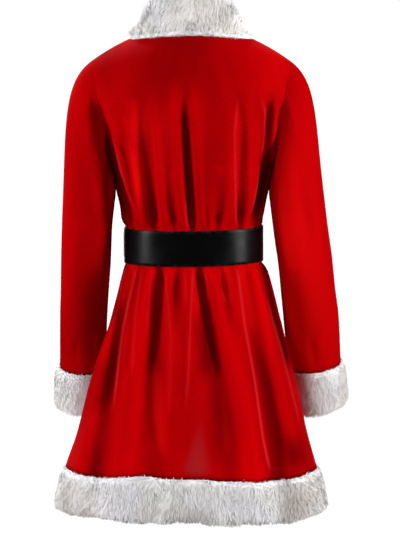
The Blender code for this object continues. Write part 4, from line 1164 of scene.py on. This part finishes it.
def fur_coat(name, grid, trim, material):
    """A mesh of tapered locks of hair that stand on the outer face of a closed loft."""
    coat = trim.coat
    chance = np.random.default_rng(coat.seed)
    place, normal, down, row, column = scatter(grid, coat.count, chance)
    comb = trim.comb(down, row, column)
    side = np.cross(normal, comb)
    sway = sum(share * wander(place, coat.seed + k, size) for k, (share, size) in enumerate(SWAY_WAYS, 1))
    loose = chance.normal(size=(coat.count, 3)) * LOOSE
    lift = coat.lift * (1 + LIFT_CHANGE * wander(place, coat.seed + 3, LIFT_WAY))[:, None]
    way = unit(normal * lift + comb * coat.comb + side * (coat.sway * sway)[:, None] + loose)
    length = coat.length * chance.uniform(*LENGTH_RANGE, coat.count)
    length *= 1 + LENGTH_CHANGE * wander(place, coat.seed + 4, LENGTH_WAY)
    length *= EDGE_LENGTH + (1 - EDGE_LENGTH) * np.linalg.norm(comb, axis=1)
    length = (length * trim.length_share(place))[:, None]
    root = place - normal * ROOT_DEPTH
    middle = root + unit(way + normal * BEND) * length * LOWER_SHARE
    tip = middle + unit(way + comb * BEND + (0, 0, -coat.droop)) * length * UPPER_SHARE
    clump = np.floor(column / coat.clump_columns)
    ids = np.floor(row / coat.clump_rows + 0.5 * clump) * CLUMP_STRIDE + clump  # staggered by half a clump
    matted = ease(wander(place, coat.seed + 5, MATTED_WAY))[:, None]
    pull = coat.gather * (MATTED_LEAST + (1 - MATTED_LEAST) * matted)
    pull = pull * chance.uniform(*GATHER_RANGE, (coat.count, 1))
    middle += (clump_means(ids, middle) - middle) * pull * BEND_GATHER
    tip += (clump_means(ids, tip) - tip) * pull
    across = unit(np.cross(way, normal + chance.normal(size=(coat.count, 3)) * TWIST))
    across *= np.sign(np.sum(np.cross(across, way) * normal, axis=1))[:, None]
    half = across * (coat.width / 2 * chance.uniform(*WIDTH_RANGE, (coat.count, 1)))
    points = np.stack([root - half, root + half, middle + half * TAPER, middle - half * TAPER, tip], axis=1)
    first = np.arange(coat.count)[:, None] * 5
    faces = [first + [0, 1, 2, 3], first + [3, 2, 4]]
    tone = np.repeat(chance.random(coat.count), 5)
    reach = np.tile([0.0, 0.0, LOWER_SHARE, LOWER_SHARE, 1.0], coat.count)
    # Dulled tips: matted patches, and painted shade in some spots.
    dull_and_shade = MATTED_DULL * matted[:, 0]
    for spot in coat.spots:
        dull_and_shade += spot.share * np.exp(-np.sum(((place - spot.place) / spot.size) ** 2, axis=1))
    values = {"tone": tone, "reach": reach, "matted": np.repeat(np.clip(dull_and_shade, 0, 1), 5)}
    pile = mesh_object(name, points.reshape(-1, 3), faces, [material], values)
    # A lock is round and its neighbours light it up, so the coat's face shades it more than its own does.
    lie = unit(comb)
    face = normal - lie * (np.sum(normal * lie, axis=1, keepdims=True) * SOFT_FACE)
    soft = unit(face + way * SOFT_WAY + chance.normal(size=(coat.count, 3)) * SOFT_SPREAD)
    pile.data.normals_split_custom_set_from_vertices(np.repeat(soft, 5, axis=0))
    return pile


# ---------------------------------------------------------------- materials


def linear(hex_colour):
    """An sRGB hex colour as linear red, green and blue."""
    channels = [int(hex_colour[i : i + 2], 16) / 255 for i in (1, 3, 5)]
    return tuple(c / 12.92 if c <= 0.04045 else ((c + 0.055) / 1.055) ** 2.4 for c in channels)


def opaque(colour):
    """A colour with its alpha, 1."""
    return (*colour[:3], 1.0)


def add_node(material, kind, settings=None, links=None):
    """Adds a node with its settings, by attribute or input, and the links that come into it."""
    node = material.node_tree.nodes.new(kind)
    for name, value in (settings or {}).items():
        if isinstance(name, str) and hasattr(node, name):
            setattr(node, name, value)
        else:
            node.inputs[name].default_value = value
    for name, source in (links or {}).items():
        material.node_tree.links.new(source, node.inputs[name])
    return node


def start_material(name):
    """A material with no nodes yet."""
    material = bpy.data.materials.new(name)
    material.use_nodes = True
    material.node_tree.nodes.clear()
    return material


def finish_material(material, shader, bump_height=None, bump_strength=0.0, bump_distance=0.0):
    """Ends a material in its shader, with a bump where it has one."""
    if bump_height is not None:
        settings = {"Strength": bump_strength, "Distance": bump_distance}
        bump = add_node(material, "ShaderNodeBump", settings, {"Height": bump_height})
        material.node_tree.links.new(bump.outputs["Normal"], shader.inputs["Normal"])
    add_node(material, "ShaderNodeOutputMaterial", None, {"Surface": shader.outputs["BSDF"]})
    return material


def noise(material, size, detail=2.0, stretch=(1, 1, 1)):
    """Noise whose lumps are about size metres, longer along an axis where stretch is below 1."""
    place = add_node(material, "ShaderNodeTexCoord").outputs["Object"]
    scaled = add_node(material, "ShaderNodeMapping", {"Scale": stretch}, {"Vector": place})
    settings = {"Scale": 1 / (NOISE_LUMP * size), "Detail": detail}
    lumps = add_node(material, "ShaderNodeTexNoise", settings, {"Vector": scaled.outputs["Vector"]})
    return lumps.outputs["Fac"]


def remap(material, value, low, high, to_low=0.0, to_high=1.0):
    """A value taken from between low and high to between two others, and held there."""
    settings = {"From Min": low, "From Max": high, "To Min": to_low, "To Max": to_high}
    return add_node(material, "ShaderNodeMapRange", settings, {"Value": value}).outputs["Result"]


def mixed(material, share, first, second):
    """A colour between two, each a colour or another node's socket."""
    node = add_node(material, "ShaderNodeMix", {"data_type": "RGBA"})
    for socket, value in ((MIX_SHARE, share), (MIX_FIRST, first), (MIX_SECOND, second)):
        if isinstance(value, bpy.types.NodeSocket):
            material.node_tree.links.new(value, node.inputs[socket])
        else:
            node.inputs[socket].default_value = value if socket == MIX_SHARE else opaque(value)
    return node.outputs[MIX_RESULT]


def attribute(material, name):
    """A value that a piece's points carry."""
    return add_node(material, "ShaderNodeAttribute", {"attribute_name": name}).outputs["Fac"]


def velvet_material(settings):
    """Polyester velvet, cut pile on a knit ground: matt and deep, with a painted highlight on ridges.

    It has painted shade in valleys and in some strokes, painted highlights in other strokes, and a painted
    pale sheen along narrow ridges and in a patch at the centre back.
    """
    material = start_material("polyester_velvet")
    # Painted shade in valleys and a painted highlight on ridges, set by the fold height.
    lift = remap(material, attribute(material, "lift"), settings.valley, settings.ridge)
    colour = mixed(material, lift, settings.closed_pile, settings.open_pile)
    streaks = remap(material, noise(material, 0.045, 3, (1, 1, 0.25)), 0.35, 0.65)
    streaked = mixed(material, streaks, settings.closed_pile, settings.open_pile)
    colour = mixed(material, BRUSH_SHARE, colour, streaked)
    # A pile 1 mm long shows its tufts about 1 mm apart.
    tufts = noise(material, 0.0011, 2)
    colour = mixed(material, remap(material, tufts, 0.3, 0.7, 0.0, TUFT_SHARE), colour, settings.closed_pile)
    # Painted shade and highlights in strokes.
    brush = attribute(material, "brush")
    colour = mixed(material, remap(material, brush, 0, -1), colour, settings.flat_pile)
    colour = mixed(material, remap(material, brush, 0, 1), colour, settings.raised_pile)
    # A painted pale sheen in a patch at the centre back.
    colour = mixed(material, attribute(material, "crushed"), colour, settings.crushed_pile)
    # A painted sheen along narrow ridges.
    crest = remap(material, attribute(material, "crest"), 0.0, 1.0, 0.0, CREST_SHARE)
    colour = mixed(material, crest, colour, settings.parted_pile)
    finish = {
        "Roughness": 0.85,
        "Specular IOR Level": 0.03,
        "Specular Tint": opaque(settings.open_pile),
        "Sheen Weight": 0.02,
        "Sheen Roughness": 0.35,
        "Sheen Tint": opaque(settings.open_pile),
    }
    shader = add_node(material, "ShaderNodeBsdfPrincipled", finish, {"Base Color": colour})
    return finish_material(material, shader, tufts, 0.25, 0.0006)


def backing_material(settings):
    """The velvet's warp-knit polyester back: dull and darker, in fine ribs."""
    material = start_material("warp_knit_backing")
    place = add_node(material, "ShaderNodeTexCoord").outputs["Object"]
    # Real ribs are about 1.2 mm apart, too fine to show, and are drawn six times as coarse.
    knit = {"bands_direction": "X", "Scale": WAVE_TURN / RIB, "Distortion": 0.6, "Detail": 1.0}
    ribs = add_node(material, "ShaderNodeTexWave", knit, {"Vector": place}).outputs["Fac"]
    colour = mixed(material, remap(material, ribs, 0, 1, 0, 0.35), settings.backing, settings.closed_pile)
    clouds = remap(material, noise(material, 0.03), 0.3, 0.7, 0, 0.4)
    colour = mixed(material, clouds, colour, settings.closed_pile)
    finish = {"Roughness": 0.8, "Specular IOR Level": 0.25}
    shader = add_node(material, "ShaderNodeBsdfPrincipled", finish, {"Base Color": colour})
    return finish_material(material, shader, ribs, 0.3, 0.0003)


def pile_material(settings):
    """Acrylic faux fur of long straight fibres: pale tips over a darker ground, cooler and warmer in patches.

    Towards their roots the locks darken to the ground's colour as painted shade. Where it is matted its tips
    are duller, and spots of painted shade dull them too.
    """
    material = start_material("acrylic_fur_pile")
    patches = remap(material, noise(material, 0.050, 2), 0.40, 0.60)
    tips = mixed(material, patches, settings.cool_tips, settings.warm_tips)
    paler = remap(material, attribute(material, "tone"), 0, 1, 0, 0.8)
    tips = mixed(material, paler, tips, settings.bright_tips)
    # Duller tips where the pile is matted, and painted shade in spots.
    duller_and_shaded = remap(material, attribute(material, "matted"), 0, 1, 0, 0.85)
    tips = mixed(material, duller_and_shaded, tips, settings.matted)
    # Towards the roots the locks take the ground colour: painted shade among the locks.
    reach = remap(material, attribute(material, "reach"), 0.0, 0.75)
    colour = mixed(material, reach, settings.ground, tips)
    finish = {"Roughness": 0.55, "Specular IOR Level": 0.25, "Sheen Weight": 0.25, "Sheen Roughness": 0.5}
    shader = add_node(material, "ShaderNodeBsdfPrincipled", finish, {"Base Color": colour})
    # Its fibres are 0.05 mm thick, too fine to show, so strands of them are drawn about 0.4 mm wide.
    strands = noise(material, 0.0004, 1)
    return finish_material(material, shader, strands, 0.2, 0.0002)


def fur_ground_material(settings):
    """The fur's knitted ground with the matted roots of its pile: soft and dull, and a little darker as
    painted shade under the pile.
    """
    material = start_material("acrylic_fur_ground")
    matted = noise(material, 0.004, 4)
    colour = mixed(material, remap(material, matted, 0.3, 0.7), settings.ground, settings.cool_tips)
    finish = {"Roughness": 0.95, "Specular IOR Level": 0.1}
    shader = add_node(material, "ShaderNodeBsdfPrincipled", finish, {"Base Color": colour})
    return finish_material(material, shader, matted, 0.8, 0.002)


def leatherette_material(settings):
    """Black coated leatherette, smooth and half glossy, with a fine pressed grain and paler rubbed edges."""
    material = start_material("polyurethane_leatherette")
    place = add_node(material, "ShaderNodeTexCoord").outputs["Object"]
    # The real grain is about 0.7 mm across and is drawn twice as coarse, so that it shows.
    pressed = {"feature": "DISTANCE_TO_EDGE", "Scale": 1 / 0.0014}
    grain = add_node(material, "ShaderNodeTexVoronoi", pressed, {"Vector": place}).outputs["Distance"]
    worn = remap(material, noise(material, 0.006, 3), 0.45, 0.7, 0, 0.5)
    factors = {0: worn, 1: attribute(material, "edge")}
    rubbed = add_node(material, "ShaderNodeMath", {"operation": "MULTIPLY"}, factors).outputs[0]
    colour = mixed(material, rubbed, settings.leatherette, settings.rubbed_edge)
    roughness = remap(material, noise(material, 0.018, 3), 0.3, 0.7, 0.26, 0.36)
    links = {"Base Color": colour, "Roughness": roughness}
    shader = add_node(material, "ShaderNodeBsdfPrincipled", {"Specular IOR Level": 0.08}, links)
    return finish_material(material, shader, grain, 0.04, 0.0002)


def buckle_material(settings):
    """Zinc alloy with a brass-coloured plating, polished: fine rubbing marks and faint clouding."""
    material = start_material("brass_plated_zinc")
    marks = noise(material, 0.0006, 2, (1, 1, 0.12))
    clouds = remap(material, noise(material, 0.012, 2), 0.3, 0.7)
    colour = mixed(material, clouds, settings.plating, settings.plating_dark)
    roughness = remap(material, marks, 0.3, 0.7, 0.18, 0.32)
    links = {"Base Color": colour, "Roughness": roughness}
    shader = add_node(material, "ShaderNodeBsdfPrincipled", {"Metallic": 1.0}, links)
    return finish_material(material, shader, marks, 0.06, 0.0001)


def floor_material(settings):
    """Matt paint on a studio floor, very slightly uneven."""
    material = start_material("matt_white_paint")
    uneven = remap(material, noise(material, 0.6, 3), 0.3, 0.7)
    shade = tuple(channel * 0.985 for channel in settings.floor_colour)
    colour = mixed(material, uneven, settings.floor_colour, shade)
    finish = {"Roughness": 0.9, "Specular IOR Level": 0.1}
    shader = add_node(material, "ShaderNodeBsdfPrincipled", finish, {"Base Color": colour})
    return finish_material(material, shader)


# ---------------------------------------------------------------- settings


def colour_property(name, description, hex_colour):
    return bpy.props.FloatVectorProperty(
        name=name, description=description, subtype="COLOR", default=linear(hex_colour), min=0, max=1
    )


def length_property(name, description, metres, least=0.0):
    return bpy.props.FloatProperty(
        name=name, description=description, unit="LENGTH", default=metres, min=least, precision=4
    )


def power_property(name, description, watts):
    return bpy.props.FloatProperty(name=name, description=description, subtype="POWER", default=watts, min=0)


def strength_property(name, description, strength):
    return bpy.props.FloatProperty(name=name, description=description, default=strength, min=0)


def angle_property(name, description, degrees):
    return bpy.props.FloatProperty(
        name=name, description=description, subtype="ANGLE", default=float(np.radians(degrees))
    )


class VelvetSettings(bpy.types.PropertyGroup):
    """The velvet of the panels and sleeves."""

    # The velvet's red, lightened to this on ridges as a painted highlight.
    open_pile: colour_property("Open pile", "Colour on ridges, where the pile opens", "#B80004")
    # The velvet's darker red, and painted shade in valleys.
    closed_pile: colour_property("Closed pile", "Colour in valleys, where the pile closes up", "#6A0002")
    # Painted shade.
    flat_pile: colour_property("Flat pile", "Colour where the pile is brushed flat", "#240001")
    # Painted highlight.
    raised_pile: colour_property("Raised pile", "Colour where the pile is brushed up", "#E0080A")
    # Painted sheen along narrow ridges.
    parted_pile: colour_property("Parted pile", "Colour of the pile's sides on narrow ridges", "#C8343C")
    # Painted pale sheen in a patch at the centre back.
    crushed_pile: colour_property("Brushed patch", "Colour of the patch that is brushed back", "#86262A")
    backing: colour_property("Backing", "Colour of the knitted back of the velvet", "#7A0A10")
    thickness: length_property("Thickness", "Thickness of the velvet with its backing", CLOTH, 0.001)
    # Between these fold heights the painted shade of valleys turns into the painted highlight of ridges.
    valley: length_property("Valley", "Fold height, below 0, at which the pile has closed", -0.0045, -1)
    ridge: length_property("Ridge", "Fold height at which the pile has opened", 0.0020)


class FurSettings(bpy.types.PropertyGroup):
    """The faux fur of the collar, cuffs and hem."""

    cool_tips: colour_property("Cool tips", "Colour of the pile in its cooler patches", "#F8F7FC")
    warm_tips: colour_property("Warm tips", "Colour of the pile in its warmer patches", "#F0EDE7")
    bright_tips: colour_property("Bright tips", "Colour of the palest fibres", "#FBFAFB")
    # Also the colour to which spots of painted shade dull the tips.
    matted: colour_property("Matted", "Colour of the tips where the pile is matted", "#B9AA9D")
    # Its darkness is partly painted shade under the pile and among the locks' roots.
    ground: colour_property("Ground", "Colour of the roots and the ground under them", "#E6E4E6")
    ground_share: bpy.props.FloatProperty(
        name="Ground height",
        description="Height of the matted ground, as a share of the pile's",
        subtype="FACTOR",
        default=0.45,
        min=0,
        max=1,
    )


class BeltSettings(bpy.types.PropertyGroup):
    """The strap and its buckle."""

    leatherette: colour_property("Leatherette", "Colour of the strap", "#040405")
    rubbed_edge: colour_property("Rubbed edge", "Colour where the strap's edges are rubbed", "#2A2A2C")
    plating: colour_property("Plating", "Colour of the buckle", "#D8AE5E")
    plating_dark: colour_property("Dull plating", "Colour of the buckle where it has dulled", "#B98D45")
    bevel: length_property("Buckle edge", "Radius of the buckle's edges", 0.0007)


class StageSettings(bpy.types.PropertyGroup):
    """The floor, the lights and the camera."""

    floor_colour: colour_property("Floor", "Colour of the floor", "#F7F7F8")
    floor_level: length_property("Floor level", "Height of the floor below the shoulders", -1.42, -10)
    floor_size: length_property("Floor size", "Width of the floor", 160.0)
    key: power_property("Key", "Power of the softbox on the wearer's right", 128)
    side: power_property("Side", "Power of the softbox on the wearer's left", 100)
    top: strength_property("Top", "Strength of the light from above", 0.5)
    front: power_property("Front", "Power of the softbox before the dress", 12)
    front_sun: strength_property("Front sun", "Strength of the high light on the front and the floor", 3.9)
    fill: strength_property("Fill", "Strength of the weak light on the back", 1.20)
    softness: angle_property("Softness", "How wide the lights look from the dress", 16)


class SuitSettings(bpy.types.PropertyGroup):
    """All the settings of the suit."""

    velvet: bpy.props.PointerProperty(type=VelvetSettings, name="Velvet", description="Velvet settings")
    fur: bpy.props.PointerProperty(type=FurSettings, name="Fur", description="Fur settings")
    belt: bpy.props.PointerProperty(type=BeltSettings, name="Belt", description="Belt settings")
    stage: bpy.props.PointerProperty(type=StageSettings, name="Stage", description="Stage settings")


# ---------------------------------------------------------------- operators


def shared_material(make, settings):
    """The material that make builds, built once."""
    if make.__name__ not in MATERIALS:
        MATERIALS[make.__name__] = make(settings)
    return MATERIALS[make.__name__]


def put_in_place(piece, node):
    """Makes a cloth piece ride, and hides the node that it stands for."""
    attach(piece, "root")
    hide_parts(node)


def painted_sheen_patch(grid):
    """A painted pale sheen: a soft wedge above the hem at the centre back."""
    x, y, z = np.moveaxis(grid, -1, 0)
    high = (PATCH_TOP - z) / (PATCH_TOP - PATCH_FULL)
    half = PATCH_HALF * np.clip(high, 0, 1)
    middle = PATCH_X - PATCH_LEAN * (z - PATCH_FULL)
    across = 1 - abs(x - middle) / np.maximum(half, 1e-6)
    return PATCH_SHARE * ease(across / PATCH_SOFT) * ease(high) * ease((z - HEM_Z) / PATCH_FOOT) * (y > 0)


def brushed_pile(side, x, z):
    """Painted highlight on the velvet, up to 1, and painted shade, down to -1, with a painted shadow next to
    the fur.
    """
    painted_seam_shadow = SEAM_SHADE * np.exp(-(((z - z[0]) / SEAM_SHADE_REACH) ** 2))
    return np.clip(stroke_sum(SHADING_STROKES[side], x, z) + painted_seam_shadow, -1, 1)


def local_lift(height, grid):
    """How far each point stands out from the cloth to each side of it along its row."""
    step = np.linalg.norm(np.diff(grid, axis=1), axis=-1).mean()
    columns = max(round(LIFT_REACH / step), 2)
    window = np.hanning(2 * columns + 1)
    window /= window.sum()
    padded = np.pad(height, ((0, 0), (columns, columns)), "edge")
    mean = np.array([np.convolve(row, window, "valid") for row in padded])
    return height - mean


class SANTA_OT_velvet_panels(bpy.types.Operator):
    """Build the back and front panels of the dress"""

    bl_idname = "santa_suit.velvet_panels"
    bl_label = "Velvet Panels"

    def execute(self, context):
        settings = context.scene.santa_suit.velvet
        materials = [shared_material(velvet_material, settings), shared_material(backing_material, settings)]
        for name, node, side in (("velvet_back", "back_panel", BACK), ("velvet_front", "front_panel", FRONT)):
            grid = panel_grid(side)
            x, z = grid[..., 0], grid[..., 2]
            # The fold height drives painted shade in valleys and a painted highlight on ridges.
            lift = fold_height(side, x, z) + crease_height(side, x, z)
            values = {
                "lift": local_lift(lift, grid),
                "crest": crest_sheen_share(side, x, z),
                "crushed": painted_sheen_patch(grid),
                "brush": brushed_pile(side, x, z),
            }
            piece = cloth_piece(name, grid, False, settings.thickness, materials, values)
            put_in_place(piece, node)
        return {"FINISHED"}


class SANTA_OT_velvet_sleeves(bpy.types.Operator):
    """Build the two sleeves"""

    bl_idname = "santa_suit.velvet_sleeves"
    bl_label = "Velvet Sleeves"

    def execute(self, context):
        settings = context.scene.santa_suit.velvet
        materials = [shared_material(velvet_material, settings), shared_material(backing_material, settings)]
        for side, hand in HANDS:
            grid, lift, brush = sleeve_grid(hand)
            none = np.zeros_like(lift)  # a sleeve has no painted ridge sheen and no painted sheen patch
            values = {"lift": local_lift(lift, grid), "crest": none, "crushed": none, "brush": brush}
            piece = cloth_piece(f"velvet_sleeve_{side}", grid, True, settings.thickness, materials, values)
            put_in_place(piece, f"sleeve_{side}")
        return {"FINISHED"}


def fur_piece(trim, body, make_body, pile_face):
    """A piece of trim: its ground, which stands for the node, and the pile on it.

    pile_face holds the rows and columns that the pile stands on.
    """
    settings = bpy.context.scene.santa_suit.fur
    ground = make_body(f"{trim.name}_ground", body, shared_material(fur_ground_material, settings))
    pile = fur_coat(f"{trim.name}_pile", pile_face, trim, shared_material(pile_material, settings))
    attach(pile, "root")
    put_in_place(ground, trim.node)


def edge_comb(way, row):
    """Combed along way, except next to the seam at the top, where the pile stands up over the velvet."""
    return unit(way) * (ease(row / EDGE_ROWS) * (1 + EDGE_BACK) - EDGE_BACK)[:, None]


def cuff_comb(hand, down, row, column):
    """Combed down the cuff, and leaning across next to the body."""
    by_body = (1 + np.cos(2 * np.pi * column / CUFF_AROUND)) / 2
    lean = (by_body * CUFF_LEAN)[:, None] * (-hand, 0, 0)
    return edge_comb(cuff_run(hand) + lean, row)


def hem_comb(down, row, column):
    """Combed down, and a little along the slope of the skirt."""
    return edge_comb(np.array((0.0, 0.0, -1.0)) + HEM_ALONG * down, row)


def hem_length_share(place):
    """The hem's pile hangs longer along part of its back."""
    low = ease((HEM_LONG_Z - place[:, 2]) / HEM_LONG_REACH)
    near = np.exp(-(((place[:, 0] - HEM_LONG_X) / HEM_LONG_HALF) ** 2))
    return 1 + HEM_LONG_SHARE * low * near * (place[:, 1] > 0)


def whole_length(place):
    """Pile of the same length all over."""
    return np.ones(len(place))


def collar_comb(hand, down, row, column):
    """Combed up and along half the collar, except next to its foot, where the pile lies over the velvet."""
    up = (1 + np.cos(2 * np.pi * column / COLLAR_ROUND)) / 2
    share = ease(up / COLLAR_EDGE) * (1 + EDGE_BACK) - EDGE_BACK
    along = COLLAR_ALONG[hand] - COLLAR_CROSS * np.exp(-((row / COLLAR_MEET) ** 2))
    return share[:, None] * unit(np.array((0.0, 0.0, 1.0)) + along[:, None] * down)


def collar_length_share(place):
    """The collar's pile is full at its left side, and short at the foot of its right side."""
    x, z = place[:, 0], place[:, 2]
    left = past(x, *COLLAR_FULL_X) * past(z, *COLLAR_FULL_Z)
    right = past(-x, *COLLAR_SHORT_X) * past(-z, *COLLAR_SHORT_Z)
    return 1 + COLLAR_FULL * left - COLLAR_SHORT * right


def outer_rows(sections):
    """The outer face of a fur tube's sections and its lower edge, as rows down and columns round."""
    return np.swapaxes(sections[:, : PILE_STEPS + 1], 0, 1)


class SANTA_OT_fur_collar(bpy.types.Operator):
    """Build the two halves of the fur collar"""

    bl_idname = "santa_suit.fur_collar"
    bl_label = "Fur Collar"

    def execute(self, context):
        share = context.scene.santa_suit.fur.ground_share
        for side, hand in HANDS:
            comb = partial(collar_comb, hand)
            coat = COLLAR_COATS[hand]
            trim = Trim(f"fur_collar_{side}", f"collar_{side}", PANELS, coat, comb, collar_length_share)
            body = collar_rings(hand, share, COLLAR_CUT)
            fur_piece(trim, body, capped_body, body)
        return {"FINISHED"}


class SANTA_OT_fur_cuffs(bpy.types.Operator):
    """Build the two fur cuffs"""

    bl_idname = "santa_suit.fur_cuffs"
    bl_label = "Fur Cuffs"

    def execute(self, context):
        share = context.scene.santa_suit.fur.ground_share
        for side, hand in HANDS:
            comb = partial(cuff_comb, hand)
            sleeve = [f"velvet_sleeve_{side}"]
            trim = Trim(f"fur_cuff_{side}", f"cuff_{side}", sleeve, CUFF_COATS[hand], comb, whole_length)
            body = cuff_sections(hand, CUFF_PROUD * share, CUFF_AROUND)
            face = outer_rows(body)
            fur_piece(trim, body, ring_body, face)
        return {"FINISHED"}


class SANTA_OT_fur_hem(bpy.types.Operator):
    """Build the fur hem"""

    bl_idname = "santa_suit.fur_hem"
    bl_label = "Fur Hem"

    def execute(self, context):
        share = context.scene.santa_suit.fur.ground_share
        trim = Trim("fur_hem", "hem_trim", PANELS, HEM_COAT, hem_comb, hem_length_share)
        body = hem_sections(HEM_PROUD * share, HEM_AROUND)
        face = outer_rows(body)
        fur_piece(trim, body, ring_body, face)
        return {"FINISHED"}


class SANTA_OT_belt(bpy.types.Operator):
    """Build the belt's strap"""

    bl_idname = "santa_suit.belt"
    bl_label = "Belt"

    def execute(self, context):
        settings = context.scene.santa_suit.belt
        sections = strap_sections()
        piece = capped_body("belt", sections, shared_material(leatherette_material, settings))
        count = len(sections[0])
        edge_points = (0, 1, STRAP_ACROSS, STRAP_ACROSS + 1, STRAP_ACROSS + 2, count - 1)
        near_edge = np.isin(np.arange(count), edge_points)
        layer = piece.data.attributes.new("edge", "FLOAT", "POINT")
        layer.data.foreach_set("value", np.tile(near_edge, len(sections)).astype(np.float32))
        put_in_place(piece, "belt_strap")
        return {"FINISHED"}


class SANTA_OT_buckle(bpy.types.Operator):
    """Build the belt's slide buckle"""

    bl_idname = "santa_suit.buckle"
    bl_label = "Slide Buckle"

    def execute(self, context):
        settings = context.scene.santa_suit.belt
        grid, faces = buckle_plate()
        material = shared_material(buckle_material, settings)
        used, faces = np.unique(faces, return_inverse=True)
        faces = faces.reshape(-1, 4)
        points = grid.reshape(-1, 3)[used]
        piece = mesh_object("buckle", points, [faces], [material])
        if piece.data.polygons[0].normal.dot(Vector(points[0]) - Vector((0, 0, points[0][2]))) < 0:
            piece.data.flip_normals()
        plate = piece.modifiers.new("Plate", "SOLIDIFY")
        plate.thickness = BUCKLE_THICK
        plate.offset = -1
        edge = piece.modifiers.new("Edge", "BEVEL")
        edge.width = settings.bevel
        edge.segments = 3
        edge.limit_method = "ANGLE"
        edge.harden_normals = True
        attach(piece, "root")
        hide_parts("belt_buckle")
        return {"FINISHED"}


def sun(name, strength, azimuth, elevation, softness):
    """A far light. Azimuth goes from the back, +Y, towards the wearer's left, +X."""
    light = bpy.data.lights.new(name, "SUN")
    light.energy = strength
    light.angle = softness
    lamp = bpy.data.objects.new(name, light)
    bpy.context.scene.collection.objects.link(lamp)
    turn, rise = np.radians((azimuth, elevation))
    towards = Vector((np.sin(turn) * np.cos(rise), np.cos(turn) * np.cos(rise), np.sin(rise)))
    lamp.rotation_euler = towards.to_track_quat("Z", "Y").to_euler()
    return lamp


def softbox(name, power, azimuth, wide):
    """A tall lit panel beside the dress."""
    light = bpy.data.lights.new(name, "AREA")
    light.shape = "RECTANGLE"
    light.size, light.size_y = wide, SOFTBOX_TALL
    light.energy = power
    lamp = bpy.data.objects.new(name, light)
    bpy.context.scene.collection.objects.link(lamp)
    turn = np.radians(azimuth)
    lamp.location = (SOFTBOX_AWAY * np.sin(turn), SOFTBOX_AWAY * np.cos(turn), SOFTBOX_LEVEL)
    towards = lamp.location - Vector((0, 0, SOFTBOX_AIM))
    lamp.rotation_euler = towards.to_track_quat("Z", "Y").to_euler()
    lamp.visible_camera = False
    return lamp


class SANTA_OT_stage(bpy.types.Operator):
    """Build the floor, the lights and the camera"""

    bl_idname = "santa_suit.stage"
    bl_label = "Stage"

    def execute(self, context):
        settings = context.scene.santa_suit.stage
        half = settings.floor_size / 2
        corners = [(-half, -half), (half, -half), (half, half), (-half, half)]
        points = np.array([(x, y, settings.floor_level) for x, y in corners])
        paint = shared_material(floor_material, settings)
        floor = mesh_object("floor", points, [np.array([[0, 1, 2, 3]])], [paint])
        floor.visible_diffuse = False  # it throws no light up at the dress
        floor.visible_glossy = False  # and isn't mirrored in the belt
        softbox("key_light", settings.key, KEY_AZIMUTH, KEY_WIDE)
        softbox("side_light", settings.side, SIDE_AZIMUTH, SIDE_WIDE)
        sun("top_light", settings.top, TOP_AZIMUTH, TOP_RISE, settings.softness)
        softbox("front_light", settings.front, FRONT_AZIMUTH, FRONT_WIDE)
        sun("front_sun", settings.front_sun, SUN_AZIMUTH, SUN_RISE, settings.softness)
        fill = sun("fill_light", settings.fill, FILL_AZIMUTH, FILL_RISE, settings.softness)
        fill.visible_glossy = False  # it leaves no shine along the belt
        world = bpy.data.worlds.new("studio")
        world.use_nodes = True
        background = world.node_tree.nodes["Background"]
        background.inputs["Color"].default_value = (1, 1, 1, 1)
        background.inputs["Strength"].default_value = WORLD_STRENGTH
        context.scene.world = world
        context.scene.view_settings.view_transform = "Standard"
        camera = bpy.data.objects.new("camera", bpy.data.cameras.new("camera"))
        camera.data.lens = CAMERA_LENS
        camera.location = CAMERA_PLACE
        camera.rotation_euler = (Vector(CAMERA_PLACE) - Vector(CAMERA_AIM)).to_track_quat("Z", "Y").to_euler()
        context.scene.collection.objects.link(camera)
        context.scene.camera = camera
        return {"FINISHED"}


class SANTA_PT_suit(bpy.types.Panel):
    """Lists the suit's pieces and settings in the sidebar"""

    bl_label = "Santa Suit"
    bl_space_type = "VIEW_3D"
    bl_region_type = "UI"
    bl_category = "Santa Suit"

    def draw(self, context):
        settings = context.scene.santa_suit
        for group in (settings.velvet, settings.fur, settings.belt, settings.stage):
            box = self.layout.box()
            box.label(text=group.bl_rna.name.removesuffix("Settings"))
            for name in group.__annotations__:
                box.prop(group, name)
        for operator in OPERATORS:
            self.layout.operator(operator.bl_idname)


OPERATORS = (
    SANTA_OT_stage,
    SANTA_OT_velvet_panels,
    SANTA_OT_velvet_sleeves,
    SANTA_OT_fur_collar,
    SANTA_OT_fur_cuffs,
    SANTA_OT_fur_hem,
    SANTA_OT_belt,
    SANTA_OT_buckle,
)
CLASSES = (VelvetSettings, FurSettings, BeltSettings, StageSettings, SuitSettings, *OPERATORS, SANTA_PT_suit)


def register():
    for cls in CLASSES:
        bpy.utils.register_class(cls)
    bpy.types.Scene.santa_suit = bpy.props.PointerProperty(type=SuitSettings)


def unregister():
    del bpy.types.Scene.santa_suit
    for cls in reversed(CLASSES):
        bpy.utils.unregister_class(cls)


def main():
    register()
    bpy.ops.santa_suit.stage()
    bpy.ops.santa_suit.velvet_panels()
    bpy.ops.santa_suit.velvet_sleeves()
    bpy.ops.santa_suit.fur_collar()
    bpy.ops.santa_suit.fur_cuffs()
    bpy.ops.santa_suit.fur_hem()
    bpy.ops.santa_suit.belt()
    bpy.ops.santa_suit.buckle()
    bpy.context.view_layer.update()


if __name__ == "__main__":
    main()
